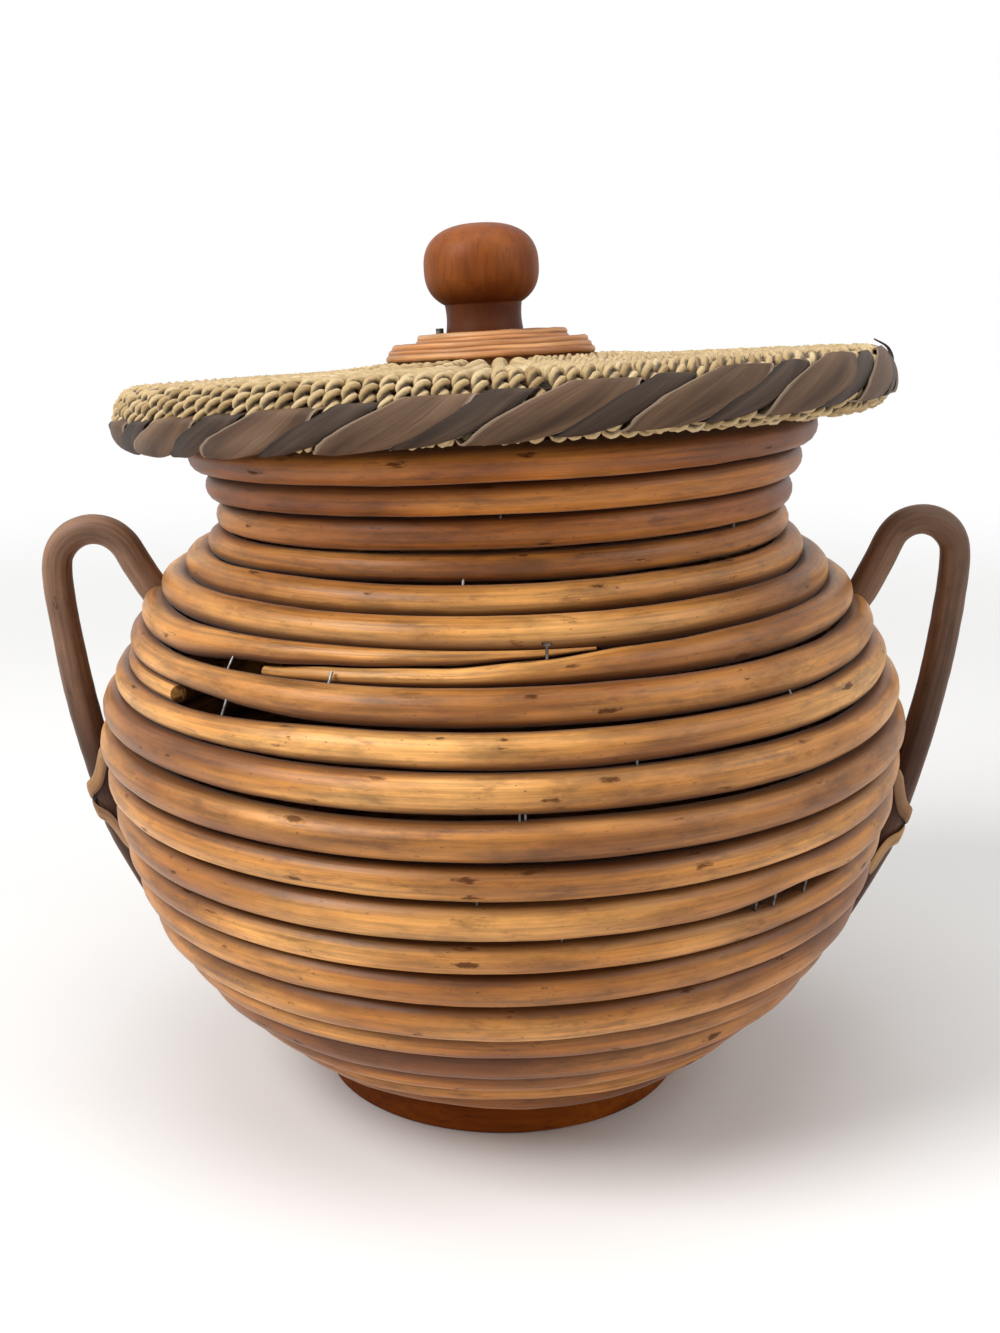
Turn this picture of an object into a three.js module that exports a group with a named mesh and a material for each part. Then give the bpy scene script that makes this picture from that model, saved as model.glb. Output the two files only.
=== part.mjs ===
// A lidded storage basket. Reed rods are laid course on course in one climbing spiral on a wooden foot,
// two bent handles are lashed to the sides, and a seagrass lid with a leaf-bound rim lifts off by a knob.
// Millimetres, +Z up, front towards -Y, origin in the middle of the foot's underside.
import * as THREE from 'three';

// Driving dimensions
const clearance = 0.3; // between pieces that touch

const footRadius = 53.5;
const footThickness = 9;
const footEdge = 1.5; // chamfer

// The wall: radius of the reed centres from the foot to the mouth, and each place's rise above the last
const startInset = 3; // the first reed's centre lies this far inside the foot's edge
const lowerRadius = 80;
const lowerRise = 25; // above the foot
const flankRadius = 100;
const flankRise = 28;
const bellyRadius = 110.5;
const bellyRise = 51;
const shoulderRadius = 97.5;
const shoulderRise = 32;
const rootRadius = 78.5;
const rootRise = 19;
const waistRadius = 77;
const waistRise = 10;
const mouthRadius = 85;
const mouthRise = 21;
const mouthShift = 2.5; // the mouth stands this far to the left of the foot

// Reed thickness of each course at the front, from the foot up
const reedDiameters = [
  11.5, 11.5, 10, 9.5, 11, 9, 11.5, 10, 9, 11, 9, 11, 10, 9, 10, 9, 9.5, 9, 7.5, 9, 9, 9.5,
];
const reedTip = 3.2; // thickness of the coil's two tapered ends
const reedGap = 0.5; // between one course and the next
const evenCourses = 10; // above these the reeds are thicker at the front and on the right, so the mouth leans
const rightSwell = 0.023; // share of thickness gained on the right and lost on the left
const backThinning = 0.05; // share lost at the sides, and twice that at the back
const firstTaper = 1; // turns
const lastTaper = 0.17;
const lastTurn = 0.917; // share of the top course that is laid before the reed ends
const seamStagger = 3; // steps that the rods' ends wander round the back
const seamTurn = 2.4; // radians of that wandering from one course to the next
const leastStretch = 0.5; // bounds of the common change in reed thickness that fits the wall
const mostStretch = 1.6;

const handleRadius = 4.4;
const handleReach = { left: 18.5, right: 20 }; // from the belly's reed centres out to the bow's outer leg
const handleRise = { left: 18.5, right: 21.5 }; // top of the bow above the shoulder
const handleBow = { left: 11, right: 10 }; // radius of the bend at the top
const handleBowTurn = 140; // degrees of that bend, then the rod runs straight into the wall
const handleEntryDrop = { left: 1, right: 1 }; // the inner end meets the wall this far below the shoulder
const handleEntryRun = 1.5;
const handleEntrySlope = 55; // degrees that its end leans up from level
const handleTipDrop = { left: 67, right: 77 }; // below the belly
const handleTipInset = { left: 23, right: 30 }; // the tip stands this far inside the bow's outer leg
const handleBend = 0.55; // share of the tip's inset that comes from the leg's curve
const handleTipRadius = 1.6;
const handleTaper = 0.16; // share of the handle's length
const lashDrop = { left: 31, right: 39 }; // middle of the lashing below the belly
const lashWidth = 4.4;
const lashThickness = 1.2;
const lashSlack = 1; // between a strap and the leg
const lashPart = 0.8; // half the space between the two straps on the leg
const lashSpread = { upper: 18, lower: 10 }; // from the middle of the lashing to a strap's front end
const lashBackShare = 0.7; // of that spread, at the strap's other end behind the leg
const lashLead = 5; // how far a strap's ends stand out beside the leg
const lashSag = 0.3; // share of the spread that a strap has climbed by the side of the leg
const lashFacing = 50; // degrees that a strap's face turns away from straight out, at most

const wrapRadius = 7.2; // cord-wrapped rim of the lid, across its section
const rimGap = 6.6; // between the rim's binding and the top reed
const ribCount = 48;
const ribDepth = 1.3;
const ribShares = [1, 0.8, 0.55]; // of the panel's radius, where the ribs' height follows the dome
const coverRise = 5; // dome of the lid's top
const cordThickness = 4;
const boardThickness = 3.4;
const boardInset = 2; // from the edge of the cord layers
const rimDrop = 1.2; // the wrapped rim hangs this far below the panel's underside
const leafThickness = 0.8;
const leafSlack = 0.5; // between the strip and the wrapped rim
const leafWidth = 21;
const leafLoops = 18;
const screwRadius = 2.2;
const screwHeadRadius = 8; // over its washer
const screwHead = 2;
const screwGrip = 12; // depth in the knob
const bossRadius = 29.5;
const bossHeight = 3.7;
const bossTopRadius = 21.4;
const bossTopHeight = 3.1;
const neckRadius = 10.8;
const neckHeight = 5.7;
const knobRadius = 16.1;
const knobHeight = 24;
const knobFullness = 0.8; // 1 is an ellipse, less is squarer
const knobShift = 3.7; // boss and knob stand this far to the left of the lid's middle
const seatRingPlay = 6; // between the ring under the lid and the mouth's reeds
const seatRingSection = 3;

// Fineness of the curved surfaces
const reedSides = 8;
const reedSteps = 24; // in one turn
const handleSides = 8;
const handleSteps = 36;
const lashSteps = 18;
const leafSteps = 12; // in one loop
const latheSteps = 32;
const rimSides = 8;
const screwSteps = 12;
const knobSteps = 12;
const routeSamples = 160; // along a handle
const legStart = 0.375; // share of the handle where its leg begins
const wallSamples = 600;

const colours = {
  reed: 0xb9803f, wood: 0x7a4526, handle: 0x59402f, seagrass: 0xcdb488,
  leaf: 0x5b4c43, boss: 0xb5763f, steel: 0x9a9a98, board: 0xa98a5c,
};

const courses = reedDiameters.length;
const basket = new THREE.Group();
const lid = new THREE.Group();
basket.add(lid);

function addPiece(group, name, geometry, colour, roughness = 0.75, metalness = 0) {
  const material = new THREE.MeshStandardMaterial({ color: colour, roughness, metalness });
  const mesh = new THREE.Mesh(geometry, material);
  mesh.name = name;
  group.add(mesh);
}

// A skin through rings of points: the last ring joins the first, or both end rings are closed flat
function loft(rings, joined = false) {
  const count = rings[0].length;
  const indices = [];
  const spans = joined ? rings.length : rings.length - 1;
  for (let i = 0; i < spans; i++) {
    const here = i * count;
    const next = ((i + 1) % rings.length) * count;
    for (let j = 0; j < count; j++) {
      const k = (j + 1) % count;
      indices.push(here + j, here + k, next + k, here + j, next + k, next + j);
    }
  }
  if (!joined) {
    const end = (rings.length - 1) * count;
    for (let j = 1; j < count - 1; j++) {
      indices.push(0, j + 1, j, end, end + j, end + j + 1);
    }
  }
  const points = rings.flat();
  const geometry = new THREE.BufferGeometry().setFromPoints(points);
  geometry.setIndex(signedVolume(points, indices) < 0 ? indices.reverse() : indices);
  return geometry;
}

function signedVolume(points, indices) {
  let volume = 0;
  const normal = new THREE.Vector3();
  for (let i = 0; i < indices.length; i += 3) {
    normal.crossVectors(points[indices[i + 1]], points[indices[i + 2]]);
    volume += points[indices[i]].dot(normal) / 6;
  }
  return volume;
}

// A ring or disc turned about Z from a closed outline of [radius, height] corners, anticlockwise
function turned(outline, steps = latheSteps) {
  const points = outline.map(([radius, height]) => new THREE.Vector2(radius, height));
  if (outline[0][0] > 0) {
    points.push(points[0].clone());
  }
  return new THREE.LatheGeometry(points, steps).rotateX(Math.PI / 2);
}

// Angles go round from the front towards the right
function around(radius, angle, height) {
  return new THREE.Vector3(radius * Math.sin(angle), -radius * Math.cos(angle), height);
}

// The wall's line
const startRadius = footRadius - startInset;
const startHeight = footThickness + clearance + reedTip / 2;
const lowerHeight = footThickness + lowerRise;
const flankHeight = lowerHeight + flankRise;
const bellyHeight = flankHeight + bellyRise;
const shoulderHeight = bellyHeight + shoulderRise;
const rootHeight = shoulderHeight + rootRise;
const waistHeight = rootHeight + waistRise;
const mouthHeight = waistHeight + mouthRise;
const wallLine = new THREE.CatmullRomCurve3([
  [startRadius, startHeight],
  [lowerRadius, lowerHeight],
  [flankRadius, flankHeight],
  [bellyRadius, bellyHeight],
  [shoulderRadius, shoulderHeight],
  [rootRadius, rootHeight],
  [waistRadius, waistHeight],
  [mouthRadius, mouthHeight],
].map(([radius, height]) => new THREE.Vector3(radius, 0, height)));
const wallLength = wallLine.getLength();
const wallPoints = wallLine.getSpacedPoints(wallSamples);

function wallAt(distance, angle) {
  const place = (distance / wallLength) * wallSamples;
  const index = THREE.MathUtils.clamp(Math.floor(place), 0, wallSamples - 1);
  const point = wallPoints[index].clone().lerp(wallPoints[index + 1], place - index);
  const shift = mouthShift * THREE.MathUtils.smoothstep(point.z, rootHeight, mouthHeight);
  return new THREE.Vector2(point.x - shift * Math.sin(angle), point.z);
}

// The coil: each turn lies one gap above the turn below it, and all reeds are stretched alike in thickness
// so that the top course ends at the mouth
const coilSteps = Math.round((courses - 1 + lastTurn) * reedSteps);
const mouthStep = (courses - 0.5) * reedSteps;

function angleAt(step) {
  return (2 * Math.PI * step) / reedSteps - Math.PI;
}

function reedRadius(step, stretch) {
  const turn = step / reedSteps;
  const place = THREE.MathUtils.clamp(turn - 0.5, 0, courses - 1);
  const index = Math.min(Math.floor(place), courses - 2);
  const front = THREE.MathUtils.lerp(reedDiameters[index], reedDiameters[index + 1], place - index);
  const angle = angleAt(step);
  const swell = rightSwell * Math.sin(angle) - backThinning * (1 - Math.cos(angle));
  const uneven = THREE.MathUtils.smoothstep(turn, evenCourses, evenCourses + 2);
  const full = ((stretch * front) / 2) * (1 + uneven * swell);
  const toEnd = (coilSteps - step) / reedSteps;
  const share = Math.min(1, turn / firstTaper, toEnd / lastTaper);
  return THREE.MathUtils.lerp(reedTip / 2, full, share);
}

function stepAlongWall(below, reach, angle) {
  const start = wallAt(below, angle);
  let near = below + reach / 2;
  let far = below + reach * 2;
  while (far - near > 1e-4) {
    const middle = (near + far) / 2;
    if (wallAt(middle, angle).distanceTo(start) < reach) {
      near = middle;
    } else {
      far = middle;
    }
  }
  return far;
}

function layCoil(stretch) {
  const coil = [];
  const slope = (wallAt(reedTip, 0).y - startHeight) / reedTip;
  for (let step = 0; step <= coilSteps; step++) {
    const radius = reedRadius(step, stretch);
    if (step <= reedSteps) {
      const fullRadius = reedRadius(reedSteps, stretch);
      const seated = (radius - reedTip / 2) / slope;
      const lastSeated = (fullRadius - reedTip / 2) / slope;
      const firstPitch = reedTip / 2 + fullRadius + reedGap;
      const climb = Math.max(firstPitch - lastSeated, 0) * (step / reedSteps);
      coil.push({ radius, place: seated + climb });
    } else {
      const below = coil[step - reedSteps];
      const reach = radius + below.radius + reedGap;
      coil.push({ radius, place: stepAlongWall(below.place, reach, angleAt(step)) });
    }
  }
  return coil;
}

function fitCoil() {
  let thin = leastStretch;
  let thick = mostStretch;
  while (thick - thin > 1e-5) {
    const middle = (thin + thick) / 2;
    if (layCoil(middle)[mouthStep].place < wallLength) {
      thin = middle;
    } else {
      thick = middle;
    }
  }
  return layCoil(thin);
}

const coil = fitCoil();

// The reed's centre and thickness at any step, also between two
function reedAt(step) {
  const index = THREE.MathUtils.clamp(Math.floor(step), 0, coilSteps - 1);
  const share = step - index;
  const place = THREE.MathUtils.lerp(coil[index].place, coil[index + 1].place, share);
  const radius = THREE.MathUtils.lerp(coil[index].radius, coil[index + 1].radius, share);
  const angle = angleAt(step);
  const centre = wallAt(place, angle);
  const along = wallAt(place + reedGap, angle).sub(wallAt(place - reedGap, angle)).normalize();
  return { angle, centre, along, outward: new THREE.Vector2(along.y, -along.x), radius };
}

function reedSection(step) {
  const reed = reedAt(step);
  const ring = [];
  for (let j = 0; j < reedSides; j++) {
    const turn = (2 * Math.PI * j) / reedSides;
    const point = reed.centre.clone()
      .addScaledVector(reed.along, reed.radius * Math.cos(turn))
      .addScaledVector(reed.outward, reed.radius * Math.sin(turn));
    ring.push(around(point.x, reed.angle, point.y));
  }
  return ring;
}

// The rods' ends lie round the back, staggered from course to course
function seamStep(course) {
  if (course === 0) {
    return 0;
  }
  if (course === courses) {
    return coilSteps;
  }
  return course * reedSteps + Math.round(seamStagger * Math.sin(seamTurn * course));
}

for (let course = 0; course < courses; course++) {
  const first = seamStep(course);
  const last = seamStep(course + 1);
  const endGap = (reedGap * reedSteps) / (2 * Math.PI * reedAt(last).centre.x);
  const rings = [];
  for (let step = first; step < last; step++) {
    rings.push(reedSection(step));
  }
  rings.push(reedSection(course === courses - 1 ? last : last - endGap));
  const name = `reed_course_${String(course + 1).padStart(2, '0')}`;
  addPiece(basket, name, loft(rings), colours.reed, 0.6);
}

let leastReedGap = Infinity;
for (let step = reedSteps; step <= coilSteps; step++) {
  const upper = reedAt(step);
  const lower = reedAt(step - reedSteps);
  const gap = upper.centre.distanceTo(lower.centre) - upper.radius - lower.radius;
  leastReedGap = Math.min(leastReedGap, gap);
}
console.log(`least gap between courses ${leastReedGap.toFixed(2)} mm`);

// Foot
addPiece(basket, 'foot_disc', turned([
  [0, 0], [footRadius - footEdge, 0], [footRadius, footEdge], [footRadius, footThickness - footEdge],
  [footRadius - footEdge, footThickness], [0, footThickness],
]), colours.wood, 0.55);

// Handles: a bow in the plane of the basket's axis, drawn as distance from the axis and height
function sideReeds(angle) {
  const first = ((angle + Math.PI) / (2 * Math.PI)) * reedSteps;
  const reeds = [];
  for (let step = first; step <= coilSteps; step += reedSteps) {
    reeds.push(reedAt(step));
  }
  return reeds;
}

function handleRoute(reeds, side, legShift) {
  const miss = (reed) => Math.abs(reed.centre.y - shoulderHeight + handleEntryDrop[side]);
  const entry = reeds.reduce((best, reed) => (miss(reed) < miss(best) ? reed : best));
  const slope = THREE.MathUtils.degToRad(handleEntrySlope);
  const leaning = new THREE.Vector2(Math.cos(slope), Math.sin(slope));
  const start = entry.centre.clone().addScaledVector(leaning, entry.radius + clearance);
  const span = bellyRadius + handleReach[side];
  const bowHeight = shoulderHeight + handleRise[side] - handleBow[side];
  const legLength = bowHeight - bellyHeight + handleTipDrop[side];
  const leg = (share) => {
    const inset = handleTipInset[side] * share * (1 - handleBend * (1 - share));
    const shift = legShift * Math.min(1, 2 * share);
    return new THREE.Vector2(span + shift - inset, bowHeight - legLength * share);
  };
  const bow = [1, 0.8, 0.6, 0.4, 0.2, 0].map((share) => {
    const turn = THREE.MathUtils.degToRad(handleBowTurn * share);
    return new THREE.Vector2(span - handleBow[side], bowHeight)
      .add(new THREE.Vector2(Math.cos(turn), Math.sin(turn)).multiplyScalar(handleBow[side]));
  });
  const lead = start.clone().addScaledVector(leaning, handleEntryRun);
  const points = [start, lead, lead.clone().lerp(bow[0], 0.5), ...bow];
  points.push(leg(0.25), leg(0.5), leg(0.75), leg(1));
  return new THREE.CatmullRomCurve3(points.map((point) => new THREE.Vector3(point.x, 0, point.y)));
}

function legPoints(route) {
  return route.getSpacedPoints(routeSamples).slice(routeSamples * legStart);
}

// The leg stands as close to the belly as the clearance lets it
function seatHandle(reeds, side) {
  let inside = -handleTipInset[side];
  let outside = 2 * handleTipInset[side];
  while (outside - inside > 1e-3) {
    const middle = (inside + outside) / 2;
    const leg = legPoints(handleRoute(reeds, side, middle));
    const gaps = leg.map((point) => Math.min(...reeds.map((reed) => (
      reed.centre.distanceTo(new THREE.Vector2(point.x, point.z)) - reed.radius - handleRadius))));
    if (Math.min(...gaps) < clearance) {
      inside = middle;
    } else {
      outside = middle;
    }
  }
  return handleRoute(reeds, side, outside);
}

function handleGeometry(route, angle) {
  const rings = [];
  for (let i = 0; i <= handleSteps; i++) {
    const share = i / handleSteps;
    const point = route.getPointAt(share);
    const tangent = route.getTangentAt(share);
    const full = Math.min(1, (1 - share) / handleTaper);
    const radius = THREE.MathUtils.lerp(handleTipRadius, handleRadius, full);
    const ring = [];
    for (let j = 0; j < handleSides; j++) {
      const turn = (2 * Math.PI * j) / handleSides;
      const across = radius * Math.cos(turn);
      const reach = point.x - tangent.z * across;
      const height = point.z + tangent.x * across;
      const sideways = around(1, angle + Math.PI / 2, 0).multiplyScalar(radius * Math.sin(turn));
      ring.push(around(reach, angle, height).add(sideways));
    }
    rings.push(ring);
  }
  return loft(rings);
}

// A lashing strap: from the front of the wall, out round the leg and back to the wall behind it
function lashGeometry(reeds, route, angle, side, end) {
  const up = end === 'upper' ? 1 : -1;
  const lashHeight = bellyHeight - lashDrop[side];
  const leg = legPoints(route);
  const legReach = (height) => leg.reduce((best, point) => (
    Math.abs(point.z - height) < Math.abs(best.z - height) ? point : best)).x;
  const bend = handleRadius + lashSlack + lashThickness / 2;
  const wallReach = (height) => Math.max(...reeds
    .filter((reed) => Math.abs(reed.centre.y - height) < reed.radius + lashWidth)
    .map((reed) => reed.centre.x + reed.radius)) + clearance + lashWidth / 2;
  const heightAt = (share) => lashHeight + up * (lashWidth / 2 + lashPart
    + share * lashSpread[end]);
  const atWall = (across, share) => new THREE.Vector3(wallReach(heightAt(share)), across, heightAt(share));
  const points = [atWall(-bend - lashLead, 1)];
  for (const turn of [-80, -40, 0, 40, 80]) {
    const radians = THREE.MathUtils.degToRad(turn);
    const height = heightAt(lashSag * Math.sin(radians) ** 2 * (turn < 0 ? 1 : lashBackShare));
    points.push(new THREE.Vector3(
      legReach(height) + bend * Math.cos(radians), bend * Math.sin(radians), height));
  }
  points.push(atWall(bend + lashLead, lashBackShare));
  const path = new THREE.CatmullRomCurve3(points);
  const sideSign = Math.sign(Math.sin(angle));
  const rings = [];
  for (let i = 0; i <= lashSteps; i++) {
    const point = path.getPointAt(i / lashSteps);
    const tangent = path.getTangentAt(i / lashSteps);
    const most = THREE.MathUtils.degToRad(lashFacing);
    const turn = THREE.MathUtils.clamp(Math.atan2(point.y, point.x - legReach(point.z)), -most, most);
    const facing = new THREE.Vector3(Math.cos(turn), Math.sin(turn), 0);
    const across = new THREE.Vector3().crossVectors(tangent, facing).normalize();
    facing.crossVectors(across, tangent);
    const ring = [[-1, -1], [1, -1], [1, 1], [-1, 1]].map(([wide, deep]) => {
      const corner = point.clone()
        .addScaledVector(across, (wide * lashWidth) / 2)
        .addScaledVector(facing, (deep * lashThickness) / 2);
      return new THREE.Vector3(sideSign * corner.x, corner.y, corner.z);
    });
    rings.push(ring);
  }
  return loft(rings);
}

for (const [side, angle] of [['left', -Math.PI / 2], ['right', Math.PI / 2]]) {
  const reeds = sideReeds(angle);
  const route = seatHandle(reeds, side);
  addPiece(basket, `handle_${side}`, handleGeometry(route, angle), colours.handle, 0.6);
  for (const end of ['upper', 'lower']) {
    const strap = lashGeometry(reeds, route, angle, side, end);
    addPiece(basket, `lashing_${side}_${end}`, strap, colours.reed, 0.6);
  }
}

// The lid rests on the three highest points of the mouth that hold it steady
function mouthPoints() {
  const points = [];
  for (let step = coilSteps - reedSteps; step <= coilSteps; step++) {
    const ring = reedSection(step);
    points.push(ring.reduce((best, point) => (point.z > best.z ? point : best)));
  }
  return points;
}

function restingPlane(points) {
  let best = null;
  const up = new THREE.Vector3(0, 0, 1);
  for (let i = 0; i < points.length; i++) {
    for (let j = i + 1; j < points.length; j++) {
      for (let k = j + 1; k < points.length; k++) {
        const corners = [points[i], points[j], points[k]];
        const plane = new THREE.Plane().setFromCoplanarPoints(...corners);
        if (plane.normal.dot(up) < 0) {
          plane.negate();
        }
        const flat = corners.map((point) => new THREE.Vector3(point.x, point.y, 0));
        const holdsAxis = new THREE.Triangle(...flat).containsPoint(new THREE.Vector3());
        const highest = Math.max(...points.map((point) => plane.distanceToPoint(point)));
        if (holdsAxis && (best === null || highest < best.highest)) {
          best = { plane, highest };
        }
      }
    }
  }
  best.plane.constant -= best.highest + clearance;
  return best.plane;
}

const seat = restingPlane(mouthPoints());
lid.quaternion.setFromUnitVectors(new THREE.Vector3(0, 0, 1), seat.normal);
lid.position.set(0, 0, -seat.constant / seat.normal.z);
const tiltRight = THREE.MathUtils.radToDeg(Math.atan2(-seat.normal.x, seat.normal.z));
const tiltFront = THREE.MathUtils.radToDeg(Math.atan2(seat.normal.y, seat.normal.z));
console.log(`lid's rise ${tiltRight.toFixed(1)} deg to the right, ${tiltFront.toFixed(1)} deg to the front`);

// The mouth's reeds as the lid sees them: distance from its middle, and height
lid.updateMatrix();
const fromBasket = lid.matrix.clone().invert();
const mouthReeds = [];
for (let step = coilSteps - 2 * reedSteps; step <= coilSteps; step++) {
  const { centre, angle, radius } = reedAt(step);
  const point = around(centre.x, angle, centre.y).applyMatrix4(fromBasket);
  mouthReeds.push({ reach: Math.hypot(point.x, point.y), height: point.z, radius });
}

// How far to the side a point this much higher or lower stands to keep its distance
function sideStep(distance, rise) {
  return Math.sqrt(Math.max(distance ** 2 - rise ** 2, 0));
}

// Lid: heights above the mouth. Board between two layers of cord, then the wrapped rim and its binding
const screwHole = screwRadius + clearance;
const panelHole = screwHole + knobShift;
const leafInner = wrapRadius + leafSlack;
const leafOuter = leafInner + leafThickness;
const rimHeight = wrapRadius - rimDrop;
const rimRadius = Math.max(...mouthReeds.map((reed) => (
  reed.reach + sideStep(leafOuter + reed.radius + rimGap, rimHeight - reed.height))));
const panelRadius = rimRadius - leafOuter - clearance;
const boardRadius = panelRadius - boardInset;
const boardBottom = cordThickness + clearance;
const boardTop = boardBottom + boardThickness;
const coverBottom = boardTop + clearance;
const coverEdge = coverBottom + cordThickness;
const bossBottom = coverEdge + coverRise + clearance;
const ribSegments = ribCount * 2;

addPiece(lid, 'seagrass_under', turned([
  [panelHole, 0], [panelRadius, 0], [panelRadius, cordThickness], [panelHole, cordThickness],
], ribCount), colours.seagrass, 0.9);

addPiece(lid, 'lid_board', turned([
  [panelHole, boardBottom], [boardRadius, boardBottom], [boardRadius, boardTop], [panelHole, boardTop],
], ribCount), colours.board, 0.8);

function coverSection(segment) {
  const angle = (2 * Math.PI * segment) / ribSegments;
  const valley = segment % 2 ? ribDepth : 0;
  const ribbedRadii = [...ribShares.map((share) => share * panelRadius), bossRadius + ribDepth];
  const dome = (radius) => coverEdge + coverRise * (1 - (radius / panelRadius) ** 2);
  const outline = [[panelHole, coverBottom], [panelRadius, coverBottom]];
  for (const radius of ribbedRadii) {
    outline.push([radius, dome(radius) - valley]);
  }
  outline.push([panelHole, coverEdge + coverRise]);
  return outline.map(([radius, height]) => around(radius, angle, height));
}

function rimSection(segment) {
  const angle = (2 * Math.PI * segment) / ribSegments;
  const radius = wrapRadius - (segment % 2 ? ribDepth : 0);
  const ring = [];
  for (let j = 0; j < rimSides; j++) {
    const turn = (2 * Math.PI * j) / rimSides;
    ring.push(around(rimRadius + radius * Math.cos(turn), angle, rimHeight + radius * Math.sin(turn)));
  }
  return ring;
}

function allSegments(sectionAt) {
  return Array.from({ length: ribSegments }, (_, segment) => sectionAt(segment));
}

addPiece(lid, 'seagrass_top', loft(allSegments(coverSection), true), colours.seagrass, 0.9);
addPiece(lid, 'rim_wrap', loft(allSegments(rimSection), true), colours.seagrass, 0.9);

// The leaf strip winds round the rim, rising to the right on the outside
const leafTotal = leafLoops * leafSteps;
const leafHalfAngle = leafWidth / 2 / (rimRadius + leafOuter);
const leafSpan = 2 * Math.PI - 4 * leafHalfAngle;

function leafSection(step) {
  const turn = (2 * Math.PI * step) / leafSteps - Math.PI;
  const angle = Math.PI + leafSpan * (step / leafTotal) + 2 * leafHalfAngle;
  const corner = (radius, share) => around(
    rimRadius + radius * Math.cos(turn),
    angle + share * leafHalfAngle,
    rimHeight + radius * Math.sin(turn),
  );
  return [
    corner(leafInner, -1), corner(leafInner, 0), corner(leafInner, 1),
    corner(leafOuter, 1), corner(leafOuter, 0), corner(leafOuter, -1),
  ];
}

const leafRings = Array.from({ length: leafTotal + 1 }, (_, step) => leafSection(step));
addPiece(lid, 'leaf_binding', loft(leafRings), colours.leaf, 0.7);

let leastLeafGap = Infinity;
leafRings.forEach((ring, step) => {
  for (let other = step + Math.round(leafSteps / 2); other <= leafTotal; other++) {
    for (const point of ring) {
      for (const target of leafRings[other]) {
        leastLeafGap = Math.min(leastLeafGap, point.distanceTo(target));
      }
    }
  }
});
console.log(`least gap between loops of the leaf binding ${leastLeafGap.toFixed(2)} mm`);

// Boss: two stepped rings with rounded edges
function bossOutline(radius, bottom, height) {
  const round = height / 2;
  const outline = [[screwHole, bottom]];
  for (const turn of [-90, -45, 0, 45, 90]) {
    const radians = THREE.MathUtils.degToRad(turn);
    outline.push([radius - round + round * Math.cos(radians), bottom + round + round * Math.sin(radians)]);
  }
  outline.push([screwHole, bottom + height]);
  return outline;
}

const bossTopBottom = bossBottom + bossHeight + clearance;
const neckBottom = bossTopBottom + bossTopHeight + clearance;
const neckTop = neckBottom + neckHeight;
const knobGroup = new THREE.Group();
knobGroup.position.x = -knobShift;
lid.add(knobGroup);
const lowerOutline = bossOutline(bossRadius, bossBottom, bossHeight);
addPiece(knobGroup, 'boss_lower', turned(lowerOutline), colours.boss, 0.5);
const upperOutline = bossOutline(bossTopRadius, bossTopBottom, bossTopHeight);
addPiece(knobGroup, 'boss_upper', turned(upperOutline), colours.boss, 0.5);

// Knob: a flattened ball on a short neck, bored for its screw
const knobMiddle = neckTop + knobHeight / 2;
const neckAngle = Math.acos((neckRadius / knobRadius) ** (1 / knobFullness));
const knobOutline = [
  [0, neckBottom + screwGrip],
  [screwHole, neckBottom + screwGrip],
  [screwHole, neckBottom],
  [neckRadius, neckBottom],
];
for (let i = 0; i <= knobSteps; i++) {
  const turn = THREE.MathUtils.lerp(-neckAngle, Math.PI / 2, i / knobSteps);
  const radius = i === knobSteps ? 0 : knobRadius * Math.cos(turn) ** knobFullness;
  const rise = Math.sign(turn) * Math.abs(Math.sin(turn)) ** knobFullness;
  knobOutline.push([radius, knobMiddle + (knobHeight / 2) * rise]);
}
addPiece(knobGroup, 'knob', turned(knobOutline), colours.wood, 0.5);

addPiece(knobGroup, 'knob_screw', turned([
  [0, -clearance - screwHead], [screwHeadRadius, -clearance - screwHead], [screwHeadRadius, -clearance],
  [screwRadius, -clearance], [screwRadius, neckBottom + screwGrip - clearance],
  [0, neckBottom + screwGrip - clearance],
], screwSteps), colours.steel, 0.4, 0.9);

// The ring that keeps the lid from sliding off the mouth
const seatRingHeight = -clearance - seatRingSection * Math.cos(Math.PI / rimSides);
const seatRingRadius = Math.min(...mouthReeds.map((reed) => (
  reed.reach - sideStep(seatRingSection + reed.radius + seatRingPlay, seatRingHeight - reed.height))));
const seatRingOutline = [];
for (let j = 0; j < rimSides; j++) {
  const turn = (2 * Math.PI * (j + 0.5)) / rimSides;
  seatRingOutline.push([
    seatRingRadius + seatRingSection * Math.cos(turn),
    seatRingHeight + seatRingSection * Math.sin(turn),
  ]);
}
addPiece(lid, 'lid_seat_ring', turned(seatRingOutline), colours.reed, 0.6);

export default basket;
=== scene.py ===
import math
import random
from math import cos, pi, radians, sin

import bmesh
import bpy
from mathutils import Matrix, Vector, noise


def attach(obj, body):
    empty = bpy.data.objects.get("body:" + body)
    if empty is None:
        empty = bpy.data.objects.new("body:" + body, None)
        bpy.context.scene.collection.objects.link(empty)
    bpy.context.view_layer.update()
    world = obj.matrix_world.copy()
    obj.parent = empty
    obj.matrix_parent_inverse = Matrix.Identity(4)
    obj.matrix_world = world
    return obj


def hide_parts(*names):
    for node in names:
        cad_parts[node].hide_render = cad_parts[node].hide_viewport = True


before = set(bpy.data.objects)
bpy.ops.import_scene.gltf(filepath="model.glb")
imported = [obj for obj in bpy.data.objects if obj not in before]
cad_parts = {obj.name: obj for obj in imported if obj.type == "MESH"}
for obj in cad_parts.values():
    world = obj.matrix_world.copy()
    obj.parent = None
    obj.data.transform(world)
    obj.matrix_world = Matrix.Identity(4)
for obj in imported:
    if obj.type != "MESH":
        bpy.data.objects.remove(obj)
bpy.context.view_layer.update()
scene = bpy.context.scene
chance = random.Random(11)
mm = 0.001  # lengths below are millimetres, finishPiece brings each mesh to metres
print("frame loaded,", len(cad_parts), "nodes")


# small helpers

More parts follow.
